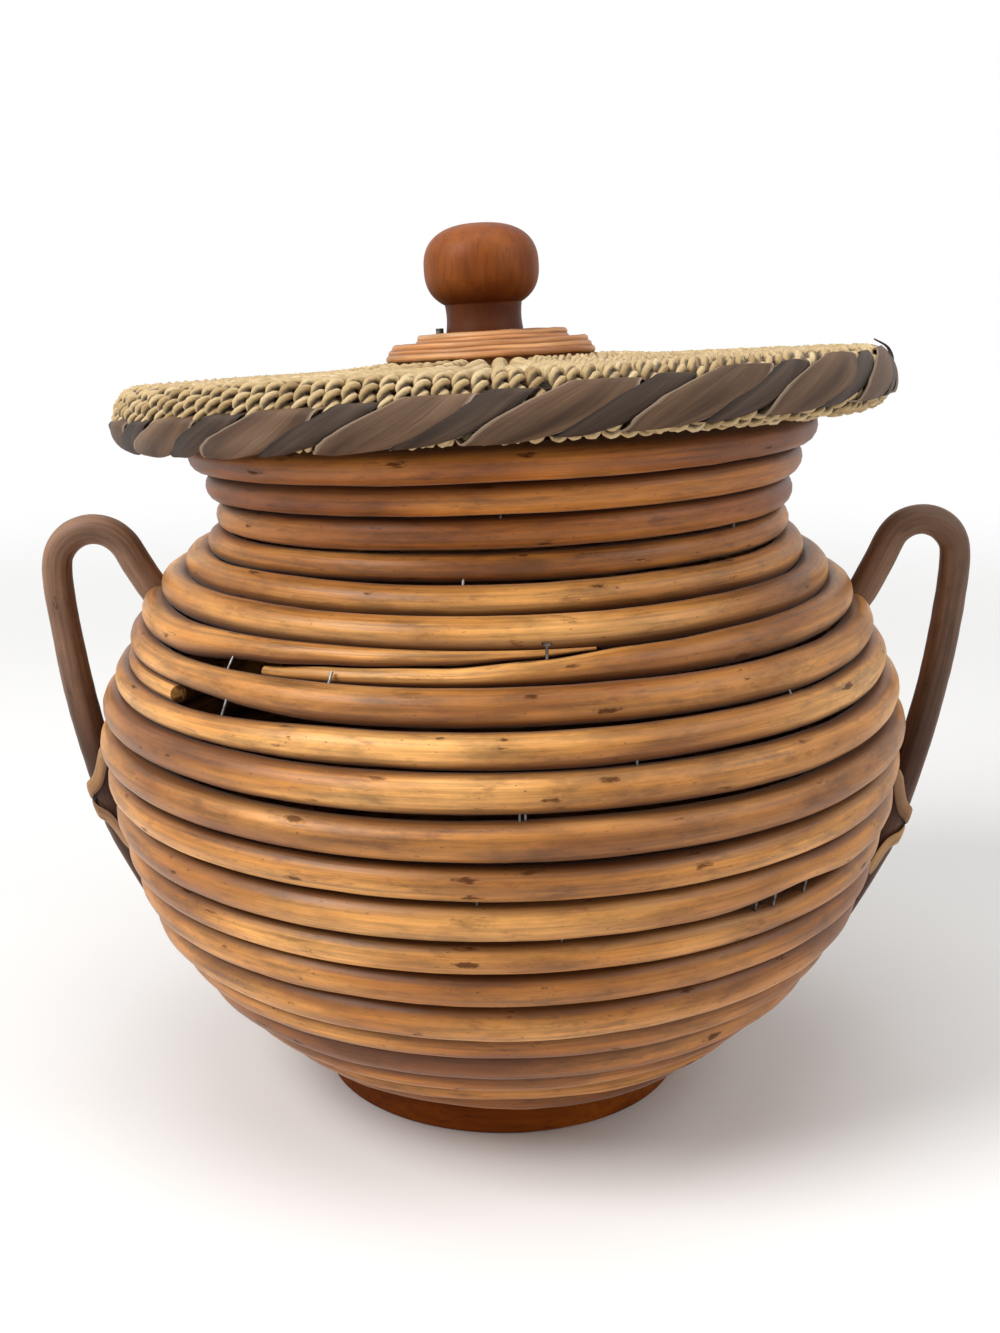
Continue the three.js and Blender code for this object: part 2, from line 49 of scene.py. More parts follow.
def clamp(value, low=0.0, high=1.0):
    return max(low, min(high, value))


def blend(a, b, share):
    return a + (b - a) * share


def ease(low, high, value):
    share = clamp((value - low) / (high - low))
    return share * share * (3 - 2 * share)


def wander(seed, where):  # slow change from about -1 to 1
    return noise.noise(Vector((where, seed * 7.31 + 0.4, seed * 1.17 + 0.2)))


def stray(amount, seed, where):  # amount: size, and how fast it changes along the piece
    size, rate = amount
    return size * wander(seed, where * rate)


def keyed(stops, where):  # value between the two nearest stops, eased
    if where <= stops[0][0]:
        return stops[0][1]
    for (a, low), (b, high) in zip(stops, stops[1:]):
        if where <= b:
            return blend(low, high, ease(a, b, where))
    return stops[-1][1]


def curvePoint(points, share):  # centripetal curve through the points
    place = clamp(share) * (len(points) - 1)
    i = min(int(place), len(points) - 2)
    b, c = points[i], points[i + 1]
    a = points[i - 1] if i > 0 else b * 2 - c
    d = points[i + 2] if i + 2 < len(points) else c * 2 - b
    ab, bc, cd = [max((q - p).length, 1e-6) ** 0.5 for p, q in ((a, b), (b, c), (c, d))]
    startPull = ((b - a) / ab - (c - a) / (ab + bc) + (c - b) / bc) * bc
    endPull = ((c - b) / bc - (d - b) / (bc + cd) + (d - c) / cd) * bc
    t = place - i
    return (b * (2 * t**3 - 3 * t**2 + 1) + startPull * (t**3 - 2 * t**2 + t)
            + c * (3 * t**2 - 2 * t**3) + endPull * (t**3 - t**2))


def evenCurve(points, count, fine=240):  # points at even distances along the curve
    dense = [curvePoint(points, i / fine) for i in range(fine + 1)]
    gone = [0.0]
    for p, q in zip(dense, dense[1:]):
        gone.append(gone[-1] + (q - p).length)
    even = []
    i = 0
    for k in range(count + 1):
        target = gone[-1] * k / count
        while i < fine - 1 and gone[i + 1] < target:
            i += 1
        share = (target - gone[i]) / max(gone[i + 1] - gone[i], 1e-9)
        even.append(curvePoint(points, (i + clamp(share)) / fine))
    return even, gone[-1]


def around(radius, angle, height):  # angle from the front towards the right
    return Vector((radius * sin(angle), -radius * cos(angle), height))


def uvGrid(bm, spans, across, length, start=0.0):  # flat, from -0.5 to 0.5, with U along it in metres
    uvLayer = bm.loops.layers.uv.get("UVMap") or bm.loops.layers.uv.new("UVMap")
    grid = bmesh.ops.create_grid(bm, x_segments=spans, y_segments=across, size=0.5, calc_uvs=True)
    for face in {face for vert in grid["verts"] for face in vert.link_faces}:
        for loop in face.loops:
            loop[uvLayer].uv.x = start + loop[uvLayer].uv.x * length * mm
    return grid["verts"]


def rolledTube(bm, stations, sides, start=0.0):
    # a grid rolled up along the stations: centre, outward half axis, upward half axis
    spans = len(stations) - 1
    length = sum((b[0] - a[0]).length for a, b in zip(stations, stations[1:]))
    for vert in uvGrid(bm, spans, sides, length, start):
        centre, outward, upward = stations[round((vert.co.x + 0.5) * spans)]
        turn = 2 * pi * (vert.co.y + 0.5)
        vert.co = centre - outward * cos(turn) + upward * sin(turn)


def turnedShape(bm, profile, steps, centre=(0, 0, 0)):  # profile of (radius, height), spun about Z
    verts = [bm.verts.new((centre[0] + radius, centre[1], centre[2] + height)) for radius, height in profile]
    edges = [bm.edges.new(pair) for pair in zip(verts, verts[1:])]
    bmesh.ops.spin(bm, geom=verts + edges, cent=centre, axis=(0, 0, 1), angle=2 * pi, steps=steps,
                   use_merge=True, use_duplicate=False)


def meshFrom(bm, name, material):
    mesh = bpy.data.meshes.new(name)
    bm.to_mesh(mesh)
    bm.free()
    mesh.materials.append(material)
    return mesh


def addObject(name, data):
    thing = bpy.data.objects.new(name, data)
    scene.collection.objects.link(thing)
    return thing


def finishPiece(bm, name, material, body, nodes=(), place=None, sharp=45):
    bmesh.ops.remove_doubles(bm, verts=bm.verts, dist=1e-4)
    openEdges = [edge for edge in bm.edges if edge.is_boundary]
    if openEdges:
        bmesh.ops.holes_fill(bm, edges=openEdges, sides=0)
    bmesh.ops.recalc_face_normals(bm, faces=bm.faces)
    if place:
        bmesh.ops.transform(bm, matrix=place, verts=bm.verts)
    bmesh.ops.scale(bm, vec=(mm, mm, mm), verts=bm.verts)
    mesh = meshFrom(bm, name, material)
    mesh.shade_smooth()
    mesh.set_sharp_from_angle(angle=radians(sharp))
    piece = addObject(name, mesh)
    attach(piece, body)
    if nodes:
        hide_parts(*nodes)


# materials

openTree = {}  # nodes are added to the tree that was opened last


def useNodes(owner):
    owner.use_nodes = True
    openTree["nodes"] = owner.node_tree.nodes
    openTree["links"] = owner.node_tree.links


def newMaterial(name):
    material = bpy.data.materials.new(name)
    useNodes(material)
    return material, openTree["nodes"]["Principled BSDF"]


def setInputs(node, inputs):  # links, or constants set on the sockets
    for key, value in inputs.items():
        if isinstance(value, bpy.types.NodeSocket):
            openTree["links"].new(value, node.inputs[key])
        else:
            node.inputs[key].default_value = value


def addNode(kind, inputs=None, **settings):
    node = openTree["nodes"].new("ShaderNode" + kind)
    for key, value in settings.items():
        setattr(node, key, value)
    setInputs(node, inputs or {})
    return node


def addMath(operation, a, b=0.0, limit=False):
    return addNode("Math", {0: a, 1: b}, operation=operation, use_clamp=limit).outputs[0]


def times(a, b):
    return addMath("MULTIPLY", a, b)


def addRamp(factor, stops):
    ramp = addNode("ValToRGB", {"Fac": factor})
    elements = ramp.color_ramp.elements
    while len(elements) < len(stops):
        elements.new(0.5)
    for element, (position, colour) in zip(elements, stops):
        element.position = position
        element.color = (*colour, 1)
    return ramp.outputs["Color"]


def shades(factor, *stops):  # a ramp of greys
    return addRamp(factor, [(position, (value, value, value)) for position, value in stops])


def addMix(factor, a, b, way="MIX"):
    if isinstance(b, tuple):
        b = (*b, 1)
    mixed = addNode("Mix", {0: factor, 6: a, 7: b}, data_type="RGBA", blend_type=way)
    return mixed.outputs[2]


def addNoise(vector, detail, rough, stretch, shift=(0, 0, 0)):  # stretch: cells per metre
    mapped = addNode("Mapping", {"Vector": vector, "Scale": stretch, "Location": shift})
    return addNode("TexNoise", {
        "Vector": mapped.outputs[0], "Scale": 1.0, "Detail": detail, "Roughness": rough}).outputs["Fac"]


def objectSpace():
    return addNode("TexCoord").outputs["Object"]


def rodSpace(radius):  # the rod laid straight: along it in metres, then across its section
    uv = addNode("UVMap", uv_map="UVMap").outputs["UV"]
    split = addNode("SeparateXYZ", {"Vector": uv})
    turn = times(split.outputs["Y"], 2 * pi)
    side = times(addMath("COSINE", turn), radius)
    rise = times(addMath("SINE", turn), radius)
    joined = addNode("CombineXYZ", {"X": split.outputs["X"], "Y": side, "Z": rise})
    return joined.outputs[0], side, rise


def finishShader(shader, colour, rough, height, bump):
    # rough: a grain, what it adds, the least value; bump: strength and depth
    grain, added, least = rough
    strength, depth = bump
    bumped = addNode("Bump", {"Strength": strength, "Distance": depth, "Height": height})
    roughness = addMath("ADD", times(grain, added), least)
    setInputs(shader, {"Base Color": colour, "Roughness": roughness, "Normal": bumped.outputs[0]})


def peeledReed(name, look):
    material, shader = newMaterial(name)
    space, _, rise = rodSpace(look["radius"])
    broad = addNoise(space, 2.0, 0.5, (11, 60, 60))
    streak = addNoise(space, 4.0, 0.6, (26, 900, 900), (3, 0, 0))
    mottle = addNoise(space, 4.0, 0.65, (95, 330, 330), (8, 1, 0))
    fleck = addNoise(space, 3.0, 0.6, (420, 1100, 1100), (1, 6, 0))
    patchy = addNoise(space, 5.0, 0.65, (48, 160, 160), (6, 3, 0))
    base = addRamp(broad, [(0.34, look["dark"]), (0.5, look["middle"]), (0.64, look["pale"])])
    streaky = shades(streak, (0.3, 0.42), (0.55, 1.02), (0.75, 1.35))
    base = addMix(0.7, base, streaky, "MULTIPLY")
    wearAndShade = shades(patchy, (0.34, 0.4), (0.5, 1.0), (0.66, 1.3))
    base = addMix(look["uneven"], base, wearAndShade, "MULTIPLY")
    smudge = shades(mottle, (0.56, 0), (0.74, 1))
    base = addMix(times(smudge, look["smudge"]), base, look["stain"])
    # bud scars: long dark specks in most cells of a stretched cell pattern
    cells = addNode("Mapping", {"Vector": space, "Scale": look["knotCells"]})
    knot = addNode("TexVoronoi", {"Vector": cells.outputs[0], "Scale": 1.0, "Randomness": 1.0})
    pick = addNode("SeparateColor", {"Color": knot.outputs["Color"]})
    size = times(addMath("SUBTRACT", pick.outputs[0], 0.3, True), look["knotSize"])
    ragged = times(addMath("SUBTRACT", fleck, 0.5), 0.5)
    near = addMath("SUBTRACT", size, addMath("ADD", knot.outputs["Distance"], ragged))
    spot = addMath("MULTIPLY", near, 9.0, True)
    base = addMix(times(spot, 0.8), base, look["knot"])
    speck = shades(fleck, (0.66, 0), (0.74, 1))
    base = addMix(times(speck, look["specks"]), base, look["knot"])
    # dirt and painted shade where one rod lies on the next
    lift = times(addMath("ABSOLUTE", rise), 1 / look["radius"])
    seam = shades(lift, (0.62, 0), (0.97, 1))
    base = addMix(times(seam, look["seamDirtAndShade"]), base, look["stain"])
    # painted shade: a tint by height, given in each look
    level = addNode("SeparateXYZ", {"Vector": objectSpace()}).outputs["Z"]
    for start, full, tint in look.get("paintedShadeByHeight", ()):
        shadeShare = addNode("MapRange", {"Value": level, "From Min": start, "From Max": full})
        base = addMix(shadeShare.outputs[0], base, tint, "MULTIPLY")
    height = addMath("SUBTRACT", times(streak, 0.6), times(spot, 0.9))
    finishShader(shader, base, (streak, 0.22, look["rough"]), height, (0.35, 0.0006))
    bare = addMath("SUBTRACT", 1.0, times(spot, 0.8))  # scars have no polish
    setInputs(shader, {
        "Specular IOR Level": times(bare, look["shine"]), "Sheen Weight": look.get("dust", 0.0),
        "Sheen Roughness": 0.45, "Sheen Tint": (0.85, 0.8, 0.75, 1)})
    return material


def turnedWood(name, look):
    material, shader = newMaterial(name)
    space = objectSpace()
    broad = addNoise(space, 3.0, 0.5, look["broad"])
    streak = addNoise(space, 5.0, 0.6, look["grain"])
    pores = addNoise(space, 2.0, 0.5, look["pores"], (2, 5, 1))
    base = addRamp(broad, [(0.3, look["dark"]), (0.52, look["middle"]), (0.72, look["pale"])])
    base = addMix(0.6, base, shades(streak, (0.32, 0.55), (0.6, 1.08)), "MULTIPLY")
    pore = shades(pores, (0.6, 0), (0.72, 1))
    base = addMix(times(pore, look["poreDark"]), base, look["stain"])
    # painted shade under the knob: darker towards the bottom, into the stain colour
    if "paintedShadeBelow" in look:
        low, high = look["paintedShadeBelow"]
        level = addNode("SeparateXYZ", {"Vector": space}).outputs["Z"]
        wearAndShade = addNode("MapRange", {
            "Value": level, "From Min": low, "From Max": high, "To Min": 0.8, "To Max": 0.0})
        base = addMix(wearAndShade.outputs[0], base, look["stain"])
    height = addMath("SUBTRACT", streak, times(pore, 0.6))
    finishShader(shader, base, (streak, 0.2, look["rough"]), height, (0.25, 0.0005))
    setInputs(shader, {"Specular IOR Level": look["shine"]})
    return material


def strawCord(name, look):
    material, shader = newMaterial(name)
    space, side, _ = rodSpace(look["radius"])
    lot = addNoise(space, 1.0, 0.5, (14, 0, 0))
    fibre = addNoise(space, 4.0, 0.6, (140, 2600, 2600))
    patch = addNoise(space, 3.0, 0.6, (85, 200, 200), (5, 2, 0))
    base = addRamp(lot, [(0.3, look["dark"]), (0.5, look["middle"]), (0.7, look["pale"])])
    base = addMix(0.6, base, shades(fibre, (0.3, 0.55), (0.6, 1.15)), "MULTIPLY")
    base = addMix(shades(patch, (0.56, 0), (0.8, 0.8)), base, look["stain"])
    # painted shade in the crevices, on the ply's side that faces into the cord
    inside = addMath("ADD", times(side, 0.5 / look["radius"]), 0.5)
    base = addMix(shades(inside, (0.32, 0), (0.7, 0.85)), base, look["creviceShade"])
    finishShader(shader, base, (fibre, 0.25, 0.55), fibre, (0.5, 0.0005))
    setInputs(shader, {"Sheen Weight": 0.15})
    return material


def driedLeaf(name, look):  # UV: along the strip in metres, across it from 0 to 1
    material, shader = newMaterial(name)
    uv = addNode("UVMap", uv_map="UVMap").outputs["UV"]
    split = addNode("SeparateXYZ", {"Vector": uv})
    broad = addNoise(uv, 3.0, 0.55, (32, 2.2, 1))
    vein = addNoise(uv, 4.0, 0.6, (14, 42, 1))
    wear = addNoise(uv, 4.0, 0.7, (120, 9, 1), (4, 1, 0))
    base = addRamp(broad, [(0.32, look["dark"]), (0.52, look["middle"]), (0.7, look["pale"])])
    base = addMix(0.6, base, shades(vein, (0.3, 0.6), (0.6, 1.12)), "MULTIPLY")
    # the edges: on the pale strip lighter, partly wear and partly a painted highlight; on the dark strip
    # near-black, painted shade where it goes under the pale one
    aside = addMath("ABSOLUTE", addMath("SUBTRACT", split.outputs["Y"], 0.5))
    edge = shades(aside, (look["edgeFrom"], 0), (0.49, 1))
    base = addMix(times(edge, 0.7), base, look["edge"])
    scuff = shades(wear, (0.66, 0), (0.78, 1))
    base = addMix(times(scuff, 0.35), base, look["edge"])
    finishShader(shader, base, (vein, 0.25, look["rough"]), vein, (0.45, 0.0006))
    setInputs(shader, {"Specular IOR Level": 0.22})
    return material


def dullSteel(name):
    material, shader = newMaterial(name)
    stain = addNoise(objectSpace(), 3.0, 0.6, (700, 700, 700))
    base = addRamp(stain, [(0.35, (0.035, 0.032, 0.03)), (0.65, (0.17, 0.163, 0.155))])
    finishShader(shader, base, (stain, 0.25, 0.25), stain, (0.15, 0.0003))
    setInputs(shader, {"Metallic": 1.0})
    return material


wallReed = peeledReed("wallReed", {
    "pale": (0.70, 0.345, 0.098), "middle": (0.47, 0.19, 0.036), "dark": (0.235, 0.078, 0.012),
    "stain": (0.10, 0.031, 0.008), "knot": (0.055, 0.017, 0.006), "radius": 0.005,
    "smudge": 0.6, "specks": 0.75, "seamDirtAndShade": 0.85, "knotCells": (72, 220, 220), "knotSize": 0.36,
    "uneven": 0.65, "rough": 0.34, "shine": 0.4, "dust": 0.14,
    # painted shade: darker at the mouth under the lid and towards the foot; the heights where a tint starts
    # and is full
    "paintedShadeByHeight": [(0.158, 0.18, (0.7, 0.52, 0.3)), (0.1, 0.035, (0.76, 0.62, 0.38))],
})
bossReed = peeledReed("bossReed", {
    "pale": (0.74, 0.40, 0.17), "middle": (0.57, 0.25, 0.088), "dark": (0.34, 0.12, 0.035),
    "stain": (0.10, 0.032, 0.012), "knot": (0.08, 0.027, 0.011), "radius": 0.0013,
    "smudge": 0.4, "specks": 0.3, "seamDirtAndShade": 0.75, "knotCells": (40, 160, 160), "knotSize": 0.12,
    "uneven": 0.4, "rough": 0.34, "shine": 0.35,
})
handleRod = peeledReed("handleRod", {
    "pale": (0.38, 0.214, 0.13), "middle": (0.256, 0.136, 0.08), "dark": (0.135, 0.069, 0.039),
    "stain": (0.028, 0.015, 0.010), "knot": (0.020, 0.011, 0.008), "radius": 0.0044,
    "smudge": 0.5, "specks": 0.4, "seamDirtAndShade": 0.1, "knotCells": (36, 170, 170), "knotSize": 0.2,
    "uneven": 0.4, "rough": 0.42, "shine": 0.25, "dust": 0.12,
    "paintedShadeByHeight": [(0.145, 0.098, (0.26, 0.19, 0.16))],  # painted shade, dark down the leg where it is tied
})
strapReed = peeledReed("strapReed", {
    "pale": (0.50, 0.27, 0.10), "middle": (0.33, 0.155, 0.05), "dark": (0.17, 0.075, 0.026),
    "stain": (0.06, 0.025, 0.012), "knot": (0.05, 0.02, 0.01), "radius": 0.0025,
    "smudge": 0.6, "specks": 0.4, "seamDirtAndShade": 0.3, "knotCells": (60, 200, 200), "knotSize": 0.2,
    "uneven": 0.4, "rough": 0.34, "shine": 0.35,
})
knobWood = turnedWood("knobWood", {
    "pale": (0.30, 0.088, 0.014), "middle": (0.23, 0.058, 0.009), "dark": (0.15, 0.032, 0.005),
    "stain": (0.046, 0.008, 0.002), "broad": (60, 60, 26), "grain": (420, 420, 60), "pores": (900, 900, 90),
    # painted shade under the knob: full at the first height, gone at the second
    "poreDark": 0.2, "paintedShadeBelow": (0.2262, 0.2345), "rough": 0.38, "shine": 0.17,
})
footWood = turnedWood("footWood", {
    "pale": (0.31, 0.076, 0.006), "middle": (0.20, 0.044, 0.003), "dark": (0.11, 0.023, 0.002),
    "stain": (0.035, 0.010, 0.004), "broad": (9, 40, 60), "grain": (26, 420, 420), "pores": (60, 900, 900),
    "poreDark": 0.5, "rough": 0.55, "shine": 0.07,
})
boardWood = turnedWood("boardWood", {
    "pale": (0.50, 0.34, 0.17), "middle": (0.40, 0.255, 0.11), "dark": (0.28, 0.165, 0.065),
    "stain": (0.14, 0.08, 0.035), "broad": (10, 45, 60), "grain": (30, 420, 420), "pores": (60, 900, 900),
    "poreDark": 0.5, "rough": 0.6, "shine": 0.2,
})
seagrass = strawCord("seagrass", {
    "radius": 0.0012, "pale": (0.70, 0.53, 0.30), "middle": (0.555, 0.39, 0.18), "dark": (0.33, 0.20, 0.07),
    "stain": (0.20, 0.115, 0.045), "creviceShade": (0.055, 0.030, 0.011),
})
leafPale = driedLeaf("leafPale", {
    "pale": (0.190, 0.112, 0.066), "middle": (0.118, 0.065, 0.036), "dark": (0.056, 0.029, 0.016),
    # edge: lighter, partly wear and partly a painted highlight
    "edge": (0.36, 0.27, 0.19), "edgeFrom": 0.44, "rough": 0.42,
})
leafDark = driedLeaf("leafDark", {
    "pale": (0.100, 0.062, 0.042), "middle": (0.056, 0.034, 0.023), "dark": (0.026, 0.015, 0.010),
    # edge: near-black, painted shade where the strip goes under the pale one
    "edge": (0.012, 0.008, 0.006), "edgeFrom": 0.34, "rough": 0.4,
})
steel = dullSteel("steel")
print("materials made")


# the coil's course on the wall, as the CAD lays it

coil = {
    "wall": [(50.5, 10.9), (80, 34), (100, 62), (110.5, 113), (97.5, 145), (78.5, 164), (77, 174), (85, 195)],
    "reeds": [11.5, 11.5, 10, 9.5, 11, 9, 11.5, 10, 9, 11, 9, 11, 10, 9, 10, 9, 9.5, 9, 7.5, 9, 9, 9.5],
    "stretch": 1.00813, "tip": 3.2, "gap": 0.5,
    "evenCourses": 10, "rightSwell": 0.023, "backThinning": 0.05, "lastTaper": 0.17, "lastTurn": 0.917,
    "mouthShift": 2.5, "shiftFrom": 164, "shiftTo": 195,
    "steps": 24, "seamStagger": 3, "seamTurn": 2.4, "wallSamples": 600,
}
courses = len(coil["reeds"])
coilEnd = round((courses - 1 + coil["lastTurn"]) * coil["steps"])
wallPoints, wallLength = evenCurve([Vector((radius, 0, height)) for radius, height in coil["wall"]],
                                   coil["wallSamples"])


def angleAt(step):
    return 2 * pi * step / coil["steps"] - pi


def stepAt(course, degrees):  # course counted from 1
    return (course - 1) * coil["steps"] + (degrees + 180) * coil["steps"] / 360


def wallAt(distance, angle):
    place = distance / wallLength * coil["wallSamples"]
    i = int(clamp(place, 0, coil["wallSamples"] - 1))
    point = blend(wallPoints[i], wallPoints[i + 1], place - i)
    shift = coil["mouthShift"] * ease(coil["shiftFrom"], coil["shiftTo"], point.z)
    return Vector((point.x - shift * sin(angle), point.z))


def reedRadius(step):
    turn = step / coil["steps"]
    place = clamp(turn - 0.5, 0, courses - 1)
    i = min(int(place), courses - 2)
    front = blend(coil["reeds"][i], coil["reeds"][i + 1], place - i)
    angle = angleAt(step)
    swell = coil["rightSwell"] * sin(angle) - coil["backThinning"] * (1 - cos(angle))
    uneven = ease(coil["evenCourses"], coil["evenCourses"] + 2, turn)
    full = coil["stretch"] * front / 2 * (1 + uneven * swell)
    share = min(1, turn, (coilEnd - step) / coil["steps"] / coil["lastTaper"])
    return blend(coil["tip"] / 2, full, share)


def layCoil():
    laid = []
    tip = coil["tip"]
    slope = (wallAt(tip, 0).y - coil["wall"][0][1]) / tip
    full = reedRadius(coil["steps"])
    for step in range(coilEnd + 1):
        radius = reedRadius(step)
        if step <= coil["steps"]:
            firstPitch = tip / 2 + full + coil["gap"]
            climb = max(firstPitch - (full - tip / 2) / slope, 0) * step / coil["steps"]
            laid.append((radius, (radius - tip / 2) / slope + climb))
            continue
        belowRadius, below = laid[step - coil["steps"]]
        reach = radius + belowRadius + coil["gap"]
        start = wallAt(below, angleAt(step))
        near, far = below + reach / 2, below + reach * 2
        while far - near > 1e-3:
            middle = (near + far) / 2
            if (wallAt(middle, angleAt(step)) - start).length < reach:
                near = middle
            else:
                far = middle
        laid.append((radius, far))
    return laid


laidCoil = layCoil()


def reedAt(step):  # angle, centre on the wall, direction up the wall, thickness
    i = int(clamp(math.floor(step), 0, coilEnd - 1))
    radius = blend(laidCoil[i][0], laidCoil[i + 1][0], step - i)
    place = blend(laidCoil[i][1], laidCoil[i + 1][1], step - i)
    angle = angleAt(step)
    upward = (wallAt(place + coil["gap"], angle) - wallAt(place - coil["gap"], angle)).normalized()
    return angle, wallAt(place, angle), upward, radius


print("coil laid,", courses, "courses")


# reed rods

rods = {
    "sides": 18, "perStep": 8, "endGap": 0.15, "uvStep": 3.7, "uvJoin": 1.3,
    # unevenness: size, and how fast it changes along the rod
    "rate": 0.55, "swell": (0.05, 1), "ripple": (0.03, 4), "upDown": (0.45, 0.8), "inOut": (0.75, 0.6),
    # how far the rods press into the gap between courses, and the share of the depth where that changes
    "fillFront": -0.1, "fillBack": 0.55, "fillFrom": (0.2, 0.6),
    # rods made thinner in places: degrees and share of thickness; lean 1 keeps the upper edge, -1 the lower
    "thinned": {
        9: (-1, [(27, 1), (41, 0.78), (57, 1)]),
        10: (1, [(27, 1), (43, 0.82), (57, 1)]),
        12: (-1, [(-70, 1), (-30, 0.93), (40, 0.95), (70, 1)]),
        14: (-1, [(-120, 1), (-80, 0.78), (-52, 0.79), (-20, 1)]),
        15: (1, [(-120, 1), (-80, 0.78), (-52, 0.79), (-20, 1)]),
    },
    # the join on the front: the old rod runs out above, the new one starts below it
    "joinCourse": 16,
    "oldRod": (1, [(-58, 1), (-38, 0.7), (-23, 0.54), (-9, 0.42), (3, 0.26), (14, 0.1)]),
    "newRod": (-1, [(-38, 0.3), (-27, 0.46), (-9, 0.55), (5, 0.69), (19, 0.9), (40, 1)]),
    "newRodSunk": [(-38, 3.0), (-12, 1.5), (12, 0)],
    "stub": {"course": 14, "from": -118, "to": -53, "steps": 60, "fill": 0.94, "least": 0.1, "uvStart": 91.7},
}


def rodPoint(step, course, lean=0, shape=None, sunk=0.0):  # a rod's centre and section, uneven
    angle, centre, upward, radius = reedAt(step)
    outward = Vector((upward.y, -upward.x))
    where = step * rods["rate"]
    share = keyed(shape, math.degrees(angle - 2 * pi * (course - 1))) if shape else 1.0
    rough = 1 + stray(rods["swell"], course, where) + stray(rods["ripple"], course + 40, where)
    fill = blend(rods["fillFront"], rods["fillBack"], ease(*rods["fillFrom"], (1 - cos(angle)) / 2))
    thick = (radius + fill) * share * rough
    lifted = lean * radius * (1 - share) + stray(rods["upDown"], course + 80, where)
    centre = centre + upward * lifted + outward * (stray(rods["inOut"], course + 120, where) - sunk)
    return angle, centre, upward, outward, thick


def rodStation(angle, centre, upward, outward, thick):
    def spatial(flat):
        return around(flat.x, angle, flat.y)
    return spatial(centre), spatial(outward) * thick, spatial(upward) * thick


def rodRun(first, last, course, lean=0, shape=None, sunk=None):
    count = max(2, round((last - first) * rods["perStep"]))
    run = []
    for i in range(count + 1):
        step = blend(first, last, i / count)
        degrees = math.degrees(angleAt(step) - 2 * pi * (course - 1))
        depth = keyed(sunk, degrees) if sunk else 0.0
        run.append(rodStation(*rodPoint(step, course, lean, shape, depth)))
    return run


def seamStep(course):
    if course in (0, courses):
        return 0 if course == 0 else coilEnd
    return course * coil["steps"] + round(coil["seamStagger"] * sin(coil["seamTurn"] * course))


def makeRods():
    for course in range(1, courses + 1):
        bm = bmesh.new()
        first, last = seamStep(course - 1), seamStep(course)
        if course < courses:
            last -= rods["endGap"] * coil["steps"] / (2 * pi * reedAt(last)[1].x)
        start = course * rods["uvStep"]
        if course == rods["joinCourse"]:
            oldLean, oldShape = rods["oldRod"]
            newLean, newShape = rods["newRod"]
            oldEnd, newStart = stepAt(course, oldShape[-1][0]), stepAt(course, newShape[0][0])
            rolledTube(bm, rodRun(first, oldEnd, course, oldLean, oldShape), rods["sides"], start)
            newRun = rodRun(newStart, last, course, newLean, newShape, rods["newRodSunk"])
            rolledTube(bm, newRun, rods["sides"], start + rods["uvJoin"])
        else:
            lean, shape = rods["thinned"].get(course, (0, None))
            rolledTube(bm, rodRun(first, last, course, lean, shape), rods["sides"], start)
        if course == rods["stub"]["course"]:
            addStub(bm)
        name = f"reedCourse{course:02d}"
        finishPiece(bm, name, wallReed, "basket", [f"reed_course_{course:02d}"], sharp=50)


def addStub(bm):  # a rod's end caught between two thinned rods
    stub = rods["stub"]
    course = stub["course"]
    lowLean, lowShape = rods["thinned"][course]
    highLean, highShape = rods["thinned"][course + 1]
    run = []
    for i in range(stub["steps"] + 1):
        degrees = blend(stub["from"], stub["to"], i / stub["steps"])
        low = rodPoint(stepAt(course, degrees), course, lowLean, lowShape)
        high = rodPoint(stepAt(course + 1, degrees), course + 1, highLean, highShape)
        between = high[1] - low[1]
        room = between.length - low[4] - high[4]
        upward = between.normalized()
        centre = low[1] + upward * (low[4] + room / 2)
        outward = Vector((upward.y, -upward.x))
        thick = max(room / 2 * stub["fill"], stub["least"])
        run.append(rodStation(low[0], centre, upward, outward, thick))
    rolledTube(bm, run, rods["sides"], stub["uvStart"])


makeRods()
print("reed rods made")


# brads: short steel pins that hold one course on the next

brads = {
    "radius": 0.36, "sides": 8, "each": 2, "outward": 0.25,
    # course, degrees and the share of the way to the next course's middle
    "seen": [(14, -41, 1), (15, -24.7, 0.74), (15, -43, 0.8), (9, 36, 1), (9, 39.5, 1), (9, 46, 1),
             (18, -7, 1), (12, 2, 1), (13, 17, 1)],
    "clear": {"courses": (13, 14, 15, 16), "middle": -40, "reach": 70},  # no others near the join
    "headed": {"course": 16, "degrees": 6.2, "up": 0.8, "out": 0.75, "height": 3.4, "thick": 1.1,
               "head": 1.25, "headHeight": 0.6},
}


def addPin(bm, low, high, radius):
    axis = high - low
    turn = Vector((0, 0, 1)).rotation_difference(axis).to_matrix().to_4x4()
    place = Matrix.Translation((low + high) / 2) @ turn
    bmesh.ops.create_cone(bm, cap_ends=True, segments=brads["sides"], radius1=radius, radius2=radius,
                          depth=axis.length, matrix=place)


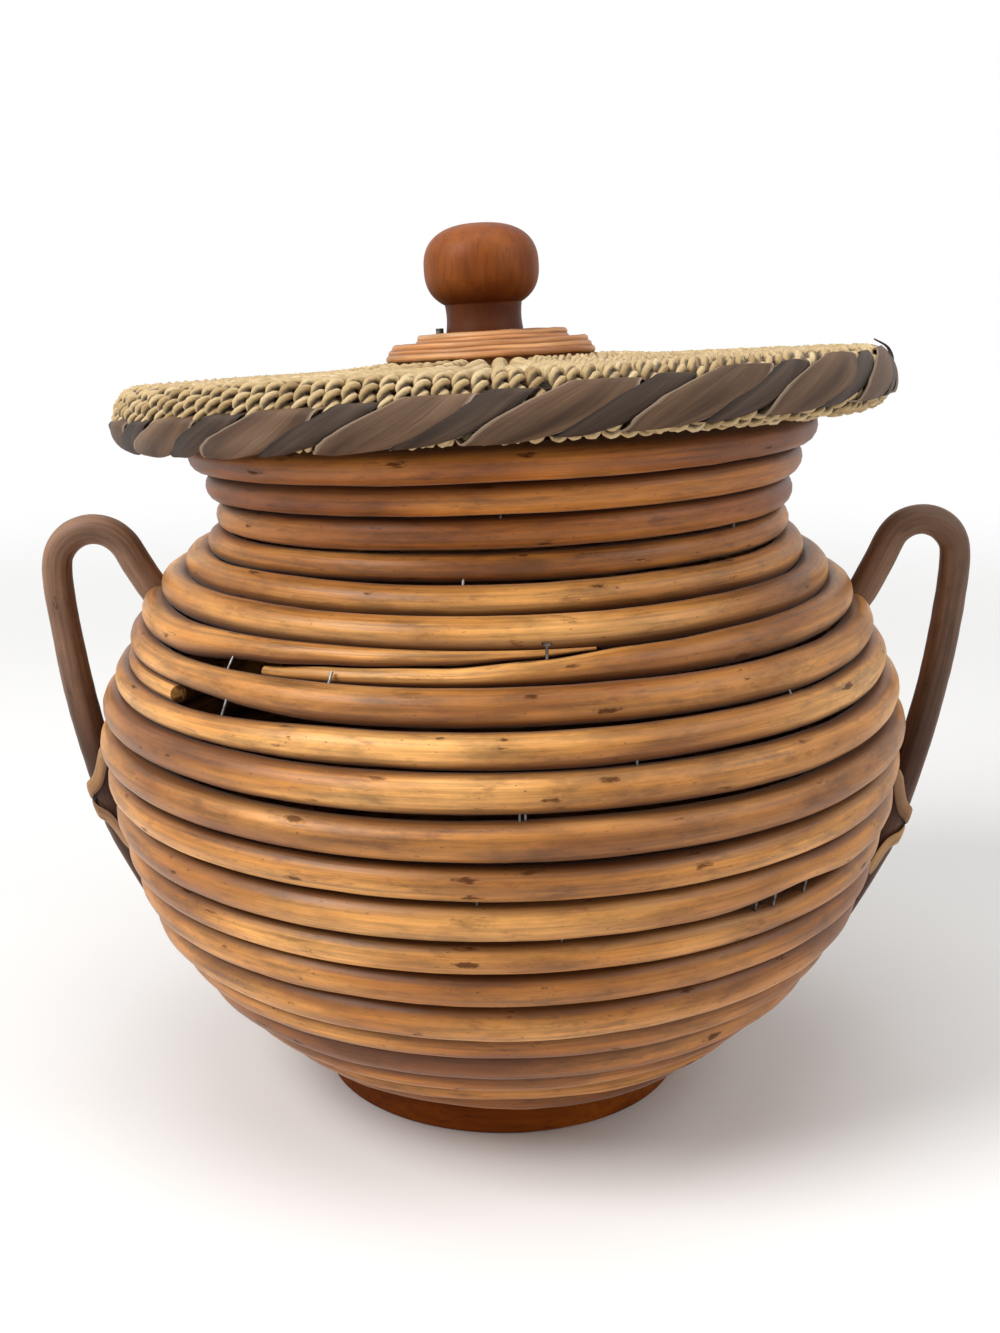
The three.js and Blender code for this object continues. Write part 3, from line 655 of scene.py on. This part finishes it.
def makeBrads():
    bm = bmesh.new()
    places = list(brads["seen"])
    clear = brads["clear"]
    for course in range(2, courses - 1):
        for i in range(brads["each"]):
            degrees = blend(-180, 180, (i + chance.random()) / brads["each"])
            if course not in clear["courses"] or abs(degrees - clear["middle"]) > clear["reach"]:
                places.append((course, degrees, 1))
    for course, degrees, share in places:
        low = rodStation(*rodPoint(stepAt(course, degrees), course))
        high = rodStation(*rodPoint(stepAt(course + 1, degrees), course + 1))
        start, end = low[0] + low[1] * brads["outward"], high[0] + high[1] * brads["outward"]
        addPin(bm, start, start.lerp(end, share), brads["radius"])
    headed = brads["headed"]
    step = stepAt(headed["course"], headed["degrees"])
    centre, outward, upward = rodStation(*rodPoint(step, headed["course"], *rods["newRod"]))
    start = centre + upward * headed["up"] + outward * headed["out"]
    top = start + Vector((0, 0, headed["height"]))
    addPin(bm, start, top, brads["radius"] * headed["thick"])
    addPin(bm, top, top + Vector((0, 0, headed["headHeight"])), headed["head"])
    finishPiece(bm, "brads", steel, "basket", sharp=30)


makeBrads()
print("brads made")


# foot

foot = {"radius": 53.5, "height": 9.0, "edge": 1.8, "edgeSteps": 6, "steps": 96}


def makeFoot():
    bm = bmesh.new()
    radius, height, edge = foot["radius"], foot["height"], foot["edge"]
    profile = [(0, 0)]
    for middle, start in ((edge, -90), (height - edge, 0)):
        for i in range(foot["edgeSteps"] + 1):
            turn = radians(start + 90 * i / foot["edgeSteps"])
            profile.append((radius - edge + edge * cos(turn), middle + edge * sin(turn)))
    profile.append((0, height))
    turnedShape(bm, profile, foot["steps"])
    finishPiece(bm, "footDisc", footWood, "basket", ["foot_disc"])


makeFoot()
print("foot made")


# handles and their lashings

handles = {
    "left": {"angle": -90, "reach": 129.0, "top": 163.5, "bow": 11, "tipHeight": 46, "tipInset": 23,
             "lash": 82, "seed": 3},
    "right": {"angle": 90, "reach": 130.5, "top": 166.5, "bow": 10, "tipHeight": 36, "tipInset": 30,
              "lash": 74, "seed": 5},
    "entry": 144, "entrySlope": 55, "entryRun": 1.5, "bowTurn": 140,
    "radius": 4.4, "bend": 0.9, "tipRadius": 0.9, "taper": 0.2, "clear": 0.3, "rootDepth": 5,
    "swell": (0.05, 9), "ripple": (0.02, 40), "sway": (0.8, 5), "swayFrom": (0.05, 0.2),
    "sides": 16, "steps": 150, "legFrom": 56, "uvStart": 40,
}
lashing = {
    "width": 4.4, "thick": 1.2, "slack": 0.5, "part": -0.35, "spread": {"upper": 18, "lower": 10},
    "backShare": 0.7, "lead": 5, "sag": 0.3, "facing": 50, "sunk": 2.2, "endSteps": 5, "endShare": 0.55,
    "steps": 60, "sides": 12, "uvStart": 60, "uvTurn": 0.1,
}


def sideReeds(degrees):
    step = (degrees + 180) * coil["steps"] / 360
    reeds = []
    while step <= coilEnd:
        reeds.append(reedAt(step)[1:])
        step += coil["steps"]
    return reeds


def handleRoute(reeds, plan, shift):  # points in the plane of the basket's axis: distance out, height
    centre, upward, radius = min(reeds, key=lambda reed: abs(reed[0].y - handles["entry"]))
    slope = radians(handles["entrySlope"])
    leaning = Vector((cos(slope), sin(slope)))
    start = centre + leaning * (radius + handles["clear"])
    lead = start + leaning * handles["entryRun"]
    bowHeight = plan["top"] - plan["bow"]
    hub = Vector((plan["reach"] - plan["bow"], bowHeight))
    bow = []
    for share in (1, 0.8, 0.6, 0.4, 0.2, 0):
        turn = radians(handles["bowTurn"] * share)
        bow.append(hub + Vector((cos(turn), sin(turn))) * plan["bow"])
    points = [start, lead, lead.lerp(bow[0], 0.5), *bow]
    for share in (0.25, 0.5, 0.75, 1):
        inset = plan["tipInset"] * share * (1 - handles["bend"] * (1 - share))
        points.append(Vector((plan["reach"] + shift * min(1, 2 * share) - inset,
                              bowHeight - (bowHeight - plan["tipHeight"]) * share)))
    return evenCurve(points, handles["steps"])[0]


def seatedRoute(reeds, plan):  # the leg as near to the belly as it can stand
    near, far = -plan["tipInset"], 2 * plan["tipInset"]
    while far - near > 1e-2:
        middle = (near + far) / 2
        leg = handleRoute(reeds, plan, middle)[handles["legFrom"]:]
        gap = min((point - centre).length - radius for point in leg for centre, _, radius in reeds)
        if gap < handles["radius"] + handles["clear"]:
            near = middle
        else:
            far = middle
    return handleRoute(reeds, plan, far)


def makeHandle(side):
    plan = handles[side]
    angle = radians(plan["angle"])
    reeds = sideReeds(plan["angle"])
    route = seatedRoute(reeds, plan)
    seed = plan["seed"]
    inward = (route[0] - route[2]).normalized()
    rooted = [route[0] + inward * handles["rootDepth"]] + route
    out = around(1, angle, 0)
    across = around(1, angle + pi / 2, 0)
    run = []
    for i, point in enumerate(rooted):
        share = i / (len(rooted) - 1)
        before, after = rooted[max(i - 1, 0)], rooted[min(i + 1, len(rooted) - 1)]
        along = (after - before).normalized()
        full = blend(handles["tipRadius"], handles["radius"], clamp((1 - share) / handles["taper"]))
        radius = full * (1 + stray(handles["swell"], seed, share) + stray(handles["ripple"], seed + 9, share))
        sway = across * (stray(handles["sway"], seed + 3, share) * ease(*handles["swayFrom"], share))
        centre = out * point.x + Vector((0, 0, point.y)) + sway
        run.append((centre, (out * -along.y + Vector((0, 0, along.x))) * radius, across * radius))
    bm = bmesh.new()
    rolledTube(bm, run, handles["sides"], handles["uvStart"] + seed)
    name = "handle" + side.capitalize()
    finishPiece(bm, name, handleRod, "basket", [f"handle_{side}"], sharp=55)
    for up, level in ((1, "upper"), (-1, "lower")):
        makeLashing(side, plan, reeds, route, up, level)


def makeLashing(side, plan, reeds, route, up, level):
    leg = route[handles["legFrom"]:]
    bend = handles["radius"] + lashing["slack"] + lashing["thick"] / 2

    def legReach(height):
        return min(leg, key=lambda point: abs(point.y - height)).x

    def heightAt(share):
        return plan["lash"] + up * (lashing["width"] / 2 + lashing["part"] + share * lashing["spread"][level])

    def atWall(across, share):
        reach = max(centre.x + radius for centre, _, radius in reeds
                    if abs(centre.y - heightAt(share)) < radius + lashing["width"])
        return Vector((reach + lashing["width"] / 2 - lashing["sunk"], across, heightAt(share)))

    points = [atWall(-bend - lashing["lead"], 1)]
    for turn in (-80, -40, 0, 40, 80):
        bearing = radians(turn)
        height = heightAt(lashing["sag"] * sin(bearing) ** 2 * (1 if turn < 0 else lashing["backShare"]))
        points.append(Vector((legReach(height) + bend * cos(bearing), bend * sin(bearing), height)))
    points.append(atWall(bend + lashing["lead"], lashing["backShare"]))
    path = evenCurve(points, lashing["steps"])[0]
    most = radians(lashing["facing"])
    width = lashing["width"]
    lean = math.atan2(legReach(plan["lash"] + width) - legReach(plan["lash"] - width), 2 * width)
    hand = math.copysign(1, plan["angle"])
    run = []
    for i, point in enumerate(path):
        along = (path[min(i + 1, len(path) - 1)] - path[max(i - 1, 0)]).normalized()
        turn = clamp(math.atan2(point.y, point.x - legReach(point.z)), -most, most)
        facing = Vector((cos(turn) * cos(lean), sin(turn), -cos(turn) * sin(lean)))
        wide = along.cross(facing).normalized()
        facing = wide.cross(along)
        taper = blend(lashing["endShare"], 1, min(1, min(i, len(path) - 1 - i) / lashing["endSteps"]))
        centre, outward, upward = [Vector((hand * v.x, v.y, v.z)) for v in (point, facing, wide)]
        run.append((centre, outward * lashing["thick"] / 2, upward * width / 2 * taper))
    bm = bmesh.new()
    rolledTube(bm, run, lashing["sides"], lashing["uvStart"] + up + plan["angle"] * lashing["uvTurn"])
    name = "lashing" + side.capitalize() + level.capitalize()
    finishPiece(bm, name, strapReed, "basket", [f"lashing_{side}_{level}"], sharp=60)


makeHandle("left")
makeHandle("right")
print("handles and lashings made")


# the lid's place, from the CAD board's flat top

lid = {
    "boardMiddle": 6.0, "rimRadius": 100.82, "rimHeight": 6.0, "knobShift": 3.7,
    "bossBottom": 17.3, "bossTopBottom": 21.3, "neckBottom": 24.7, "neckTop": 30.4,
}


def lidMatrix():
    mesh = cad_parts["lid_board"].data
    up = Vector()
    for face in mesh.polygons:
        if face.normal.z > 0.9:
            up += face.normal * face.area
    up.normalize()
    middle = sum((vert.co for vert in mesh.vertices), Vector()) / len(mesh.vertices) / mm
    turn = Vector((0, 0, 1)).rotation_difference(up).to_matrix().to_4x4()
    return Matrix.Translation(middle - up * lid["boardMiddle"]) @ turn


lidPlace = lidMatrix()


# seagrass cords: laid out from the boss, over the rim and back under

cords = {
    "count": 152, "lay": 1.05, "ply": 1.15, "pitch": 6.6, "sides": 7, "samples": 900, "turnEach": 2.4,
    "top": [(26, 15.3), (34, 15.2), (46, 14.3), (65, 13.8), (82, 13.5), (93, 13.3)],
    "wrap": {"out": 5.2, "up": 7.4, "down": 5.7, "from": 78, "to": -118, "steps": 8}, "rimInset": 2.2,
    "under": [(90, 2.1), (65, 2.1), (28, 2.1)], "fine": 1200,
    # the cords lie side by side at the rim and tuck under one another further in
    "starts": [28, 64, 38, 64], "dip": 2.4, "dipRun": 9,
    # unevenness: size, and how fast it changes from cord to cord or along one
    "aside": (0.22, 1.7), "twist": (1.5, 0.9), "sway": (0.35, 0.12), "lift": (0.3, 0.09),
    "swell": (0.1, 0.35), "spacing": {"top": 1.1, "rim": 0.9, "under": 1.7}, "uvStep": 0.37,
}


def cordLine():  # distance from the lid's middle and height, with where the rim's part begins and ends
    top = [Vector(point) for point in cords["top"]]
    plan = cords["wrap"]
    wrap = []
    for i in range(plan["steps"] + 1):
        turn = radians(blend(plan["from"], plan["to"], i / plan["steps"]))
        tall = plan["up" if turn > 0 else "down"]
        wrap.append(Vector((lid["rimRadius"] + plan["out"] * cos(turn),
                            lid["rimHeight"] + tall * sin(turn))))
    under = [Vector(point) for point in cords["under"]]
    points, length = evenCurve(top + wrap + under, cords["samples"], cords["fine"])
    onRim = [i for i, point in enumerate(points) if point.x > lid["rimRadius"] - cords["rimInset"]]
    return points, length, onRim[0], onRim[-1]


def addCord(bm, index, line, length, first, last, spacing):
    samples = cords["samples"]
    angle = 2 * pi * (index + stray(cords["aside"], 3, index)) / cords["count"]
    phase = cords["turnEach"] * index + stray(cords["twist"], 8, index)
    tuck = index % len(cords["starts"])
    count = max(3, round((last - first) * length / samples / spacing))
    for ply in (0, pi):
        run = []
        for k in range(count + 1):
            place = blend(first, last, k / count)
            i = min(int(place), samples - 1)
            point = blend(line[i], line[i + 1], place - i)
            along = (line[min(i + 2, samples)] - line[max(i - 2, 0)]).normalized()
            gone = place * length / samples
            turn = 2 * pi * gone / cords["pitch"] + phase + ply
            sway = stray(cords["sway"], index + 20, gone)
            near = 1 - ease(0, cords["dipRun"], abs(point.x - cords["starts"][tuck]))
            dip = cords["dip"] * near if tuck else 0
            dip = dip if place < samples / 3 else -dip if place > samples * 2 / 3 else 0
            height = point.y - dip + stray(cords["lift"], index + 200, gone)
            here = angle + sway / point.x
            side = around(1, here + pi / 2, 0)
            normal = around(-along.y, here, along.x)
            reach = side * cos(turn) + normal * sin(turn)
            swell = 1 + stray(cords["swell"], index + 400 + ply, gone)
            centre = around(point.x, here, height) + reach * cords["lay"]
            over = normal * cos(turn) - side * sin(turn)
            run.append((centre, reach * cords["ply"] * swell, over * cords["ply"] * swell))
        rolledTube(bm, run, cords["sides"], index * cords["uvStep"] + ply)


def makeCords():
    line, length, rimFirst, rimLast = cordLine()
    parts = (
        ("seagrassTop", "seagrass_top", "top"),
        ("seagrassRim", "rim_wrap", "rim"),
        ("seagrassUnder", "seagrass_under", "under"),
    )
    for name, node, part in parts:
        bm = bmesh.new()
        for index in range(cords["count"]):
            start = cords["starts"][index % len(cords["starts"])]
            inner = [i for i, point in enumerate(line) if point.x >= start]
            first, last = {
                "top": (inner[0], rimFirst), "rim": (rimFirst, rimLast), "under": (rimLast, inner[-1]),
            }[part]
            addCord(bm, index, line, length, first, last, cords["spacing"][part])
        finishPiece(bm, name, seagrass, "lid", [node], lidPlace, sharp=70)


makeCords()
print("seagrass cords made")


# leaf binding: a pale and a dark strip wound side by side round the rim

leaf = {
    "loops": 18, "reach": 7.0, "sunk": 4.4, "thick": 0.4, "stepsPerLoop": 72, "across": 8, "loopLength": 60,
    "slope": 9.6,  # degrees along the rim for each radian round it, on the outside
    "front": 0.7,  # share of a loop's steps on the outside
    "tallUp": 1.26, "tallDown": 1.06,  # the rim's section is taller than wide
    "showing": 38, "gone": 56,  # degrees from the strip's middle where it leaves and is inside the cords
    "middle": (-13, 31, 0),  # the strip's height on the rim: mean, change round the rim, where it is highest
    "pale": {"centre": 6.1, "half": 7.0, "lift": 0.45, "tilt": 0.5},
    "dark": {"centre": -4.4, "half": 4.4, "lift": 0.0, "tilt": 0.7},
    "narrowing": 0.42, "narrowFrom": (4, 50),  # share of its width that a strip loses where it turns under
    # unevenness: size, and how fast it changes along the strip
    "width": (0.16, 2.3), "frayed": (0.05, 30), "aside": (1.4, 1.1), "ripple": (0.4, 5), "crown": 0.4,
    "end": {"degrees": 89, "half": 2.6, "least": 0.15, "taper": 0.7, "steps": 14, "across": 4, "length": 15,
            "path": [(107.8, 6.5), (109.6, 10.2), (108.6, 13.8), (104.8, 16.4)]},
}


def leafStation(strip, t):  # t counts loops; gives the angle along the rim, then the angle round its section
    loop = math.floor(t)
    share = t - loop
    pitch = 360 / leaf["loops"]
    climb = radians(180) * leaf["slope"]
    front = leaf["front"]
    if share < front:
        turn = blend(-90, 90, share / front)
        rim = strip["centre"] + radians(turn) * leaf["slope"]
    else:
        part = (share - front) / (1 - front)
        turn = blend(90, 270, part)
        rim = strip["centre"] + climb / 2 + (pitch - climb) * part
    return radians(rim + loop * pitch), turn


def addStrip(bm, strip, seed):
    total = leaf["loops"] * leaf["stepsPerLoop"]
    mean, change, highest = leaf["middle"]
    size, rate = leaf["ripple"]
    for vert in uvGrid(bm, total, leaf["across"], leaf["loops"] * leaf["loopLength"], seed):
        t = (vert.co.x + 0.5) * leaf["loops"]
        share = vert.co.y * 2  # -1 is the strip's left edge, 1 its right edge
        rim, turn = leafStation(strip, t)
        middle = mean + change * sin(rim + radians(highest))
        shown = 1 - ease(leaf["showing"], leaf["gone"], abs(turn))
        half = radians(strip["half"]) * (1 - leaf["narrowing"] * ease(*leaf["narrowFrom"], abs(turn)))
        half *= 1 + stray(leaf["width"], seed, t) + stray(leaf["frayed"], seed + 2 + share, t)
        rim += share * half + radians(stray(leaf["aside"], seed + 4, t))
        rise = strip["lift"] + strip["tilt"] * (0.5 - share * 0.5) + leaf["crown"] * (1 - share * share)
        rise += size * wander(seed + 9, t * rate + share)
        radius = blend(leaf["sunk"], leaf["reach"] + rise, shown)
        turned = radians(turn + middle)
        tall = leaf["tallUp" if sin(turned) > 0 else "tallDown"]
        vert.co = around(lid["rimRadius"] + radius * cos(turned), rim,
                         lid["rimHeight"] + radius * tall * sin(turned))


def finishLeaf(bm, name, material, nodes=()):
    bmesh.ops.recalc_face_normals(bm, faces=bm.faces)
    bmesh.ops.solidify(bm, geom=bm.faces[:], thickness=leaf["thick"])
    finishPiece(bm, name, material, "lid", nodes, lidPlace, sharp=50)


def makeLeaf(name, kind, material, seed, nodes):
    bm = bmesh.new()
    addStrip(bm, leaf[kind], seed)
    finishLeaf(bm, name, material, nodes)


def makeLeafEnd():  # the strip's torn end, curled up on the right of the rim
    end = leaf["end"]
    steps = end["steps"]
    angle = radians(end["degrees"])
    path = evenCurve([Vector(point) for point in end["path"]], steps)[0]
    bm = bmesh.new()
    for vert in uvGrid(bm, steps, end["across"], end["length"]):
        share = vert.co.x + 0.5
        point = path[round(share * steps)]
        half = end["half"] * (1 - share) ** end["taper"] + end["least"]
        vert.co = around(point.x, angle, point.y) + around(1, angle + pi / 2, 0) * (vert.co.y * 2 * half)
    finishLeaf(bm, "leafEnd", leafDark)


makeLeaf("leafStripPale", "pale", leafPale, 1.0, ["leaf_binding"])
makeLeaf("leafStripDark", "dark", leafDark, 2.0, [])
makeLeafEnd()
print("leaf binding made")


# boss of coiled reed, knob, screw and the ring under the lid

boss = {
    "lower": {"radius": 29.5, "reed": 1.15, "layers": 3, "step": 1.35, "lean": 0.9, "inner": 12, "aside": 1.2,
              "bottom": "bossBottom"},
    "upper": {"radius": 21.6, "reed": 1.05, "layers": 2, "step": 1.3, "lean": 0.5, "inner": 9, "aside": 2.0,
              "bottom": "bossTopBottom"},
    "steps": 120, "sides": 10, "pitch": 1.96, "coreInset": 2.6, "coreDepth": 4.5,
    "brad": {"aside": -12.6, "front": -1.5, "from": 23.6, "to": 26.2, "radius": 1.1},
}
ring = {"bump": (0.22, 3), "wave": (0.3, 2), "uvStep": 1.9}  # bump and wave: share of thickness, changes
knob = {
    "radius": 16.1, "height": 24.0, "fullness": 0.8, "neck": 10.8, "lip": 0.5, "waist": 0.03, "sunk": 1.6,
    "steps": 72, "rows": 30, "neckRows": 5,
}
seatRing = {"radius": 67.4, "section": 3.0, "height": -3.1, "steps": 160, "sides": 14, "seed": 5.0}


def ringNoise(amount, thick, angle, seed):
    size, rate = amount
    return size * thick * noise.noise(Vector((rate * sin(angle), rate * cos(angle), seed)))


def addRing(bm, centre, radius, thick, steps, sides, seed):
    run = []
    for i in range(steps + 1):
        angle = pi + 2 * pi * i / steps
        wide = radius + ringNoise(ring["bump"], thick, angle, seed)
        wave = Vector((0, 0, ringNoise(ring["wave"], thick, angle, seed + 50)))
        out = around(1, angle, 0)
        run.append((centre + out * wide + wave, out * thick, Vector((0, 0, thick))))
    rolledTube(bm, run, sides, seed * ring["uvStep"])


def makeBoss(level):
    plan = boss[level]
    aside = plan["aside"] - lid["knobShift"]
    bottom = lid[plan["bottom"]]
    bm = bmesh.new()
    for layer in range(plan["layers"]):
        centre = Vector((aside, 0, bottom + plan["reed"] + plan["step"] * layer))
        radius = plan["radius"] - plan["reed"] - plan["lean"] * layer
        while radius > plan["inner"]:
            addRing(bm, centre, radius, plan["reed"], boss["steps"], boss["sides"], radius)
            radius -= boss["pitch"] * plan["reed"]
    core = plan["radius"] - boss["coreInset"]
    low = bottom - boss["coreDepth"]
    top = bottom + plan["reed"] + plan["step"] * (plan["layers"] - 1)
    turnedShape(bm, [(0, low), (core, low), (core, top), (0, top)], boss["steps"], (aside, 0, 0))
    name = "boss" + level.capitalize()
    finishPiece(bm, name, bossReed, "lid", [f"boss_{level}"], lidPlace, sharp=60)


def makeKnob():
    bm = bmesh.new()
    middle = lid["neckTop"] + knob["height"] / 2
    neckTurn = math.acos((knob["neck"] / knob["radius"]) ** (1 / knob["fullness"]))
    root = lid["neckBottom"] - knob["sunk"]
    lip = lid["neckBottom"] + knob["lip"]
    profile = [(0, root), (knob["neck"], root), (knob["neck"], lip)]
    neckTop = middle - knob["height"] / 2 * sin(neckTurn) ** knob["fullness"]
    for i in range(1, knob["neckRows"]):
        drawn = knob["waist"] * sin(pi * i / knob["neckRows"])
        profile.append((knob["neck"] * (1 - drawn), blend(lip, neckTop, i / knob["neckRows"])))
    for i in range(knob["rows"] + 1):
        turn = blend(-neckTurn, pi / 2, i / knob["rows"])
        radius = knob["radius"] * max(cos(turn), 0) ** knob["fullness"] if i < knob["rows"] else 0
        rise = math.copysign(abs(sin(turn)) ** knob["fullness"], turn)
        profile.append((radius, middle + knob["height"] / 2 * rise))
    turnedShape(bm, profile, knob["steps"], (-lid["knobShift"], 0, 0))
    finishPiece(bm, "knob", knobWood, "lid", ["knob"], lidPlace, sharp=40)


def makeBossBrad():
    brad = boss["brad"]
    low = Vector((brad["aside"] - lid["knobShift"], brad["front"], brad["from"]))
    bm = bmesh.new()
    addPin(bm, low, low + Vector((0, 0, brad["to"] - brad["from"])), brad["radius"])
    finishPiece(bm, "bossBrad", steel, "lid", place=lidPlace, sharp=30)


def makeSeatRing():
    bm = bmesh.new()
    middle = Vector((0, 0, seatRing["height"]))
    addRing(bm, middle, seatRing["radius"], seatRing["section"], seatRing["steps"], seatRing["sides"],
            seatRing["seed"])
    finishPiece(bm, "lidSeatRing", wallReed, "lid", ["lid_seat_ring"], lidPlace, sharp=60)


makeBoss("lower")
makeBoss("upper")
makeKnob()
makeBossBrad()
makeSeatRing()
for node, material in (("lid_board", boardWood), ("knob_screw", steel)):
    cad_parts[node].data.materials.clear()
    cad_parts[node].data.materials.append(material)
print("boss, knob and ring made")


# floor, light and camera

stage = {
    "floor": 6.0, "cells": 8, "pale": (0.90, 0.895, 0.885), "rough": 0.6, "fadeFrom": 0.35, "fadeTo": 1.1,
    "sky": (1.0, 0.99, 0.97), "skyPower": 0.26, "aim": (0, 0, 0.1),
}
lamps = [
    # name, place, size, power
    ("window", (-0.95, -0.6, 1.1), 0.8, 20.0),
    ("room", (1.05, -0.5, 1.0), 1.1, 8.0),
    ("ceiling", (0.0, -0.1, 1.6), 1.2, 8.5),
]
view = {"place": (0, -0.5, 0.254), "pitch": 14.8, "lens": 47.53, "sensor": 36,
        "shift": (-3 / 1333, 2.5 / 1333)}


def seenRays():  # 1 for what the camera sees, also in a polished surface or through a clear one
    path = addNode("LightPath")
    seen = addMath("MAXIMUM", path.outputs["Is Camera Ray"], path.outputs["Is Transmission Ray"])
    return addMath("MAXIMUM", seen, path.outputs["Is Glossy Ray"])


def whiten(kind, share, shader, output):  # mixes plain white into the shader
    white = addNode(kind, {"Color": (1, 1, 1, 1), "Strength": 1.0})
    mixed = addNode("MixShader", {0: share, 1: shader.outputs[0], 2: white.outputs[0]})
    setInputs(openTree["nodes"][output], {"Surface": mixed.outputs[0]})


def makeFloor():
    material, shader = newMaterial("paleTable")
    setInputs(shader, {"Base Color": (*stage["pale"], 1), "Roughness": stage["rough"]})
    far = addNode("VectorMath", {0: objectSpace()}, operation="LENGTH").outputs["Value"]
    fade = addNode("MapRange", {
        "Value": far, "From Min": stage["fadeFrom"], "From Max": stage["fadeTo"],
    }, interpolation_type="SMOOTHSTEP")
    whiten("Emission", times(fade.outputs[0], seenRays()), shader, "Material Output")
    bm = bmesh.new()
    bmesh.ops.create_grid(bm, x_segments=stage["cells"], y_segments=stage["cells"], size=stage["floor"] / 2)
    floor = addObject("floor", meshFrom(bm, "floor", material))


def makeWorld():
    world = bpy.data.worlds.new("studio")
    scene.world = world
    useNodes(world)
    back = openTree["nodes"]["Background"]
    setInputs(back, {"Color": (*stage["sky"], 1), "Strength": stage["skyPower"]})
    whiten("Background", seenRays(), back, "World Output")


def makeLights():
    for name, place, size, power in lamps:
        data = bpy.data.lights.new(name, "AREA")
        data.shape = "DISK"
        data.size = size
        data.energy = power
        lamp = addObject(name, data)
        lamp.location = place
        lamp.rotation_euler = (Vector(stage["aim"]) - Vector(place)).to_track_quat("-Z", "Y").to_euler()


def makeCamera():
    data = bpy.data.cameras.new("camera")
    data.lens = view["lens"]
    data.sensor_width = view["sensor"]
    data.shift_x, data.shift_y = view["shift"]
    camera = addObject("camera", data)
    camera.location = view["place"]
    camera.rotation_euler = (radians(90 - view["pitch"]), 0, 0)
    scene.camera = camera


makeFloor()
makeWorld()
makeLights()
makeCamera()
scene.view_settings.view_transform = "Standard"
print("stage set")
